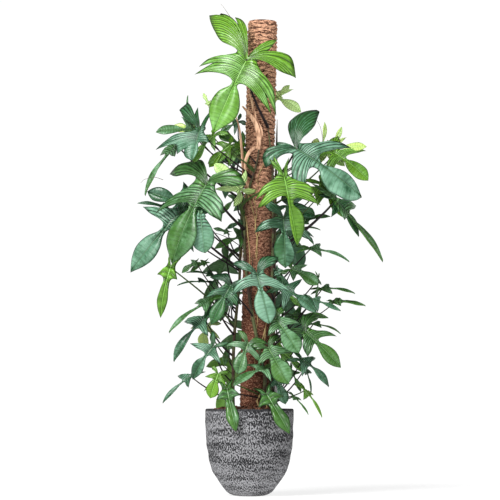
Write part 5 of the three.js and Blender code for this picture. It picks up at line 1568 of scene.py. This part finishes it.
class PLANT_OT_roots(PlantOperator, Operator):
    """Make the aerial roots, twigs, tendrils and dried sheaths"""
    bl_idname = "plant.roots"
    bl_label = "Roots, twigs, tendrils and sheaths"

    def execute(self, context):
        settings = context.scene.plant_stem
        roots = Shell()
        for row in CLASPING_ROOTS:
            self.add_rod(roots, clasping_root(*row), CLASP_RADIUS * 1.3, CLASP_RADIUS * 0.6, 8)
        for stem, height, start, end, path in SOIL_ROOTS:
            route = smooth_curve([stem_point(stem, height), *path], 10)
            self.add_rod(roots, route, start * 1.15, end * 1.15, 10)
        for *row, radius in COIR_ROOTS:
            self.add_rod(roots, coir_root(*row), radius * 1.1, radius * 0.7, 6)
        roots.build("aerial_roots", [root_finish("aerial root", settings.root)], "stem")

        twigs = Shell()
        for i in range(TWIGS):
            radius = 1.3 + 0.5 * draw(i, 24)
            self.add_rod(twigs, twig(i), radius, radius * 0.55, 6, share=0.0)
        twigs.build("twigs", [stalk_finish("twig", (0.02, 0.011, 0.008), (0.03, 0.03, 0.012))], "stem")

        tendrils = Shell()
        for radius, path in TENDRILS:
            self.add_rod(tendrils, smooth_curve(path, 8), radius * 1.2, radius * 0.5, 6)
        tendrils.build("tendrils", [root_finish("tendril", (0.16, 0.14, 0.1))], "stem")

        sheaths = Shell()
        for stem, height, start, end, path in FRONT_SHEATHS:
            route = smooth_curve([stem_point(stem, height), *path], 10)
            t = np.linspace(0, 1, len(route))
            width = (start + (end - start) * t**1.5) * (1.8 + 0.9 * np.sin(math.pi * t))
            body, faces = rod(route, width, 12, 0.32)
            sheaths.add(body, *faces)
        sheaths.build("dried_sheaths", [root_finish("dried sheath", settings.sheath)], "stem")
        return {"FINISHED"}

    def add_rod(self, shell, path, start, end, sides, **values):
        """A bar along a path whose radius runs evenly from start to end."""
        body, faces = rod(path, np.linspace(start, end, len(path)), sides)
        shell.add(body, *faces, **values)


class PLANT_OT_blades(PlantOperator, Operator):
    """Make the leaf blades"""
    bl_idname = "plant.blades"
    bl_label = "Leaf blades"

    def execute(self, context):
        settings = context.scene.plant_leaf
        finishes = {
            tone: leaf_finish(tone, tone_colours(getattr(settings, tone)), *shares, settings.gloss)
            for tone, shares in TONES.items()
        }
        for blade in [blade for blade in BLADES if blade.node]:
            shell = Shell()
            blade_shell(shell, blade, settings.pleat)
            name = blade.node.replace("leaf", "blade")
            shell.build(name, [finishes[blade.tone]], f"leaf_{blade.tone}", blade.node)
        for tone, finish in finishes.items():
            shell = Shell()
            for blade in [blade for blade in BLADES if blade.tone == tone and not blade.node]:
                blade_shell(shell, blade, settings.pleat)
            if shell.count:
                shell.build(f"small_blades_{tone}", [finish], f"leaf_{tone}")
        return {"FINISHED"}


class PLANT_OT_stage(PlantOperator, Operator):
    """Make the floor, the lights and the camera"""
    bl_idname = "plant.stage"
    bl_label = "Floor, lights and camera"

    def execute(self, context):
        settings = context.scene.plant_stage
        scene = context.scene
        floor = bpy.data.meshes.new("floor")
        ends = (-FLOOR_HALF, FLOOR_HALF)
        floor.from_pydata([(x, y, 0) for x in ends for y in ends], [], [(0, 2, 3, 1)])
        plane = bpy.data.objects.new("floor", floor)
        scene.collection.objects.link(plane)
        finish = Finish("floor")
        floor.materials.append(finish.close({
            "Base Color": (*settings.floor, 1), "Roughness": 0.9, "Specular IOR Level": 0.0,
            "Emission Color": (1, 1, 1, 1), "Emission Strength": settings.glow,
        }))

        scene.world = self.surroundings()
        sun = bpy.data.lights.new("soft sun", "SUN")
        sun.energy = settings.sun
        sun.angle = math.radians(28)
        self.aim(sun, (-2.0, -3.3, 4.4), (0, 0, 0.8))
        for box in SOFT_BOXES:
            self.softbox(*box)

        camera = bpy.data.cameras.new("camera")
        rise = VIEW_MIDDLE - settings.eye
        tilt = math.atan2(rise, settings.distance)
        camera.sensor_width = SENSOR
        camera.lens = SENSOR * math.hypot(settings.distance, rise) / settings.width
        camera.clip_end = 100
        eye = bpy.data.objects.new("camera", camera)
        eye.location = (VIEW_SIDE, -settings.distance, settings.eye)
        eye.rotation_euler = (math.pi / 2 + tilt, 0, 0)
        scene.collection.objects.link(eye)
        scene.camera = eye
        scene.view_settings.view_transform = "Standard"
        scene.view_settings.gamma = VIEW_GAMMA
        return {"FINISHED"}

    def surroundings(self):
        """White near the horizon, dimmer overhead: strength falls with the sine of the height above the horizon."""
        sky = Finish("studio", bpy.data.worlds.new("studio"))
        direction = sky.add("ShaderNodeTexCoord", output="Generated")
        height = sky.add("ShaderNodeSeparateXYZ", {}, {"Vector": direction}, output="Z")
        strength = sky.step(height, 0.17, 0.42, 1.03, 0.2)
        light = sky.add("ShaderNodeBackground", {}, {"Color": (1, 1, 1), "Strength": strength})
        sky.add("ShaderNodeOutputWorld", {}, {"Surface": light})
        return sky.holder

    def softbox(self, name, place, target, size, power):
        """A square light that looks at a point."""
        lamp = bpy.data.lights.new(name, "AREA")
        lamp.size = size
        lamp.energy = power
        self.aim(lamp, place, target)

    def aim(self, lamp, place, target):
        """Stands a light at a place and turns it to a point."""
        holder = bpy.data.objects.new(lamp.name, lamp)
        look = np.array(target) - np.array(place)
        level = math.hypot(look[0], look[1])
        holder.location = place
        holder.rotation_euler = (math.atan2(level, -look[2]), 0, math.atan2(look[1], look[0]) - math.pi / 2)
        bpy.context.scene.collection.objects.link(holder)


class PLANT_PT_sidebar(Panel):
    """Lists the plant's pieces"""
    bl_label = "Philodendron"
    bl_idname = "PLANT_PT_sidebar"
    bl_space_type = "VIEW_3D"
    bl_region_type = "UI"
    bl_category = "Philodendron"

    def draw(self, context):
        for operator, group in OPERATORS.items():
            box = self.layout.box()
            box.operator(operator.bl_idname)
            if group:
                settings = getattr(context.scene, group)
                for name in settings.bl_rna.properties.keys():
                    if name not in ("rna_type", "name"):
                        box.prop(settings, name)


# The operators in the order they run in, each with the settings that are listed under it
OPERATORS = {
    PLANT_OT_pot: "plant_pot",
    PLANT_OT_soil: None,
    PLANT_OT_coir: "plant_coir",
    PLANT_OT_stems: "plant_stem",
    PLANT_OT_roots: None,
    PLANT_OT_blades: "plant_leaf",
    PLANT_OT_stage: "plant_stage",
}
CLASSES = (*GROUPS.values(), *OPERATORS, PLANT_PT_sidebar)


def register():
    for each in CLASSES:
        bpy.utils.register_class(each)
    for name, group in GROUPS.items():
        setattr(bpy.types.Scene, name, PointerProperty(type=group))


def unregister():
    for name in GROUPS:
        delattr(bpy.types.Scene, name)
    for each in reversed(CLASSES):
        bpy.utils.unregister_class(each)


def main():
    register()
    for operator in OPERATORS:
        group, name = operator.bl_idname.split(".")
        getattr(getattr(bpy.ops, group), name)()


if __name__ == "__main__":
    main()
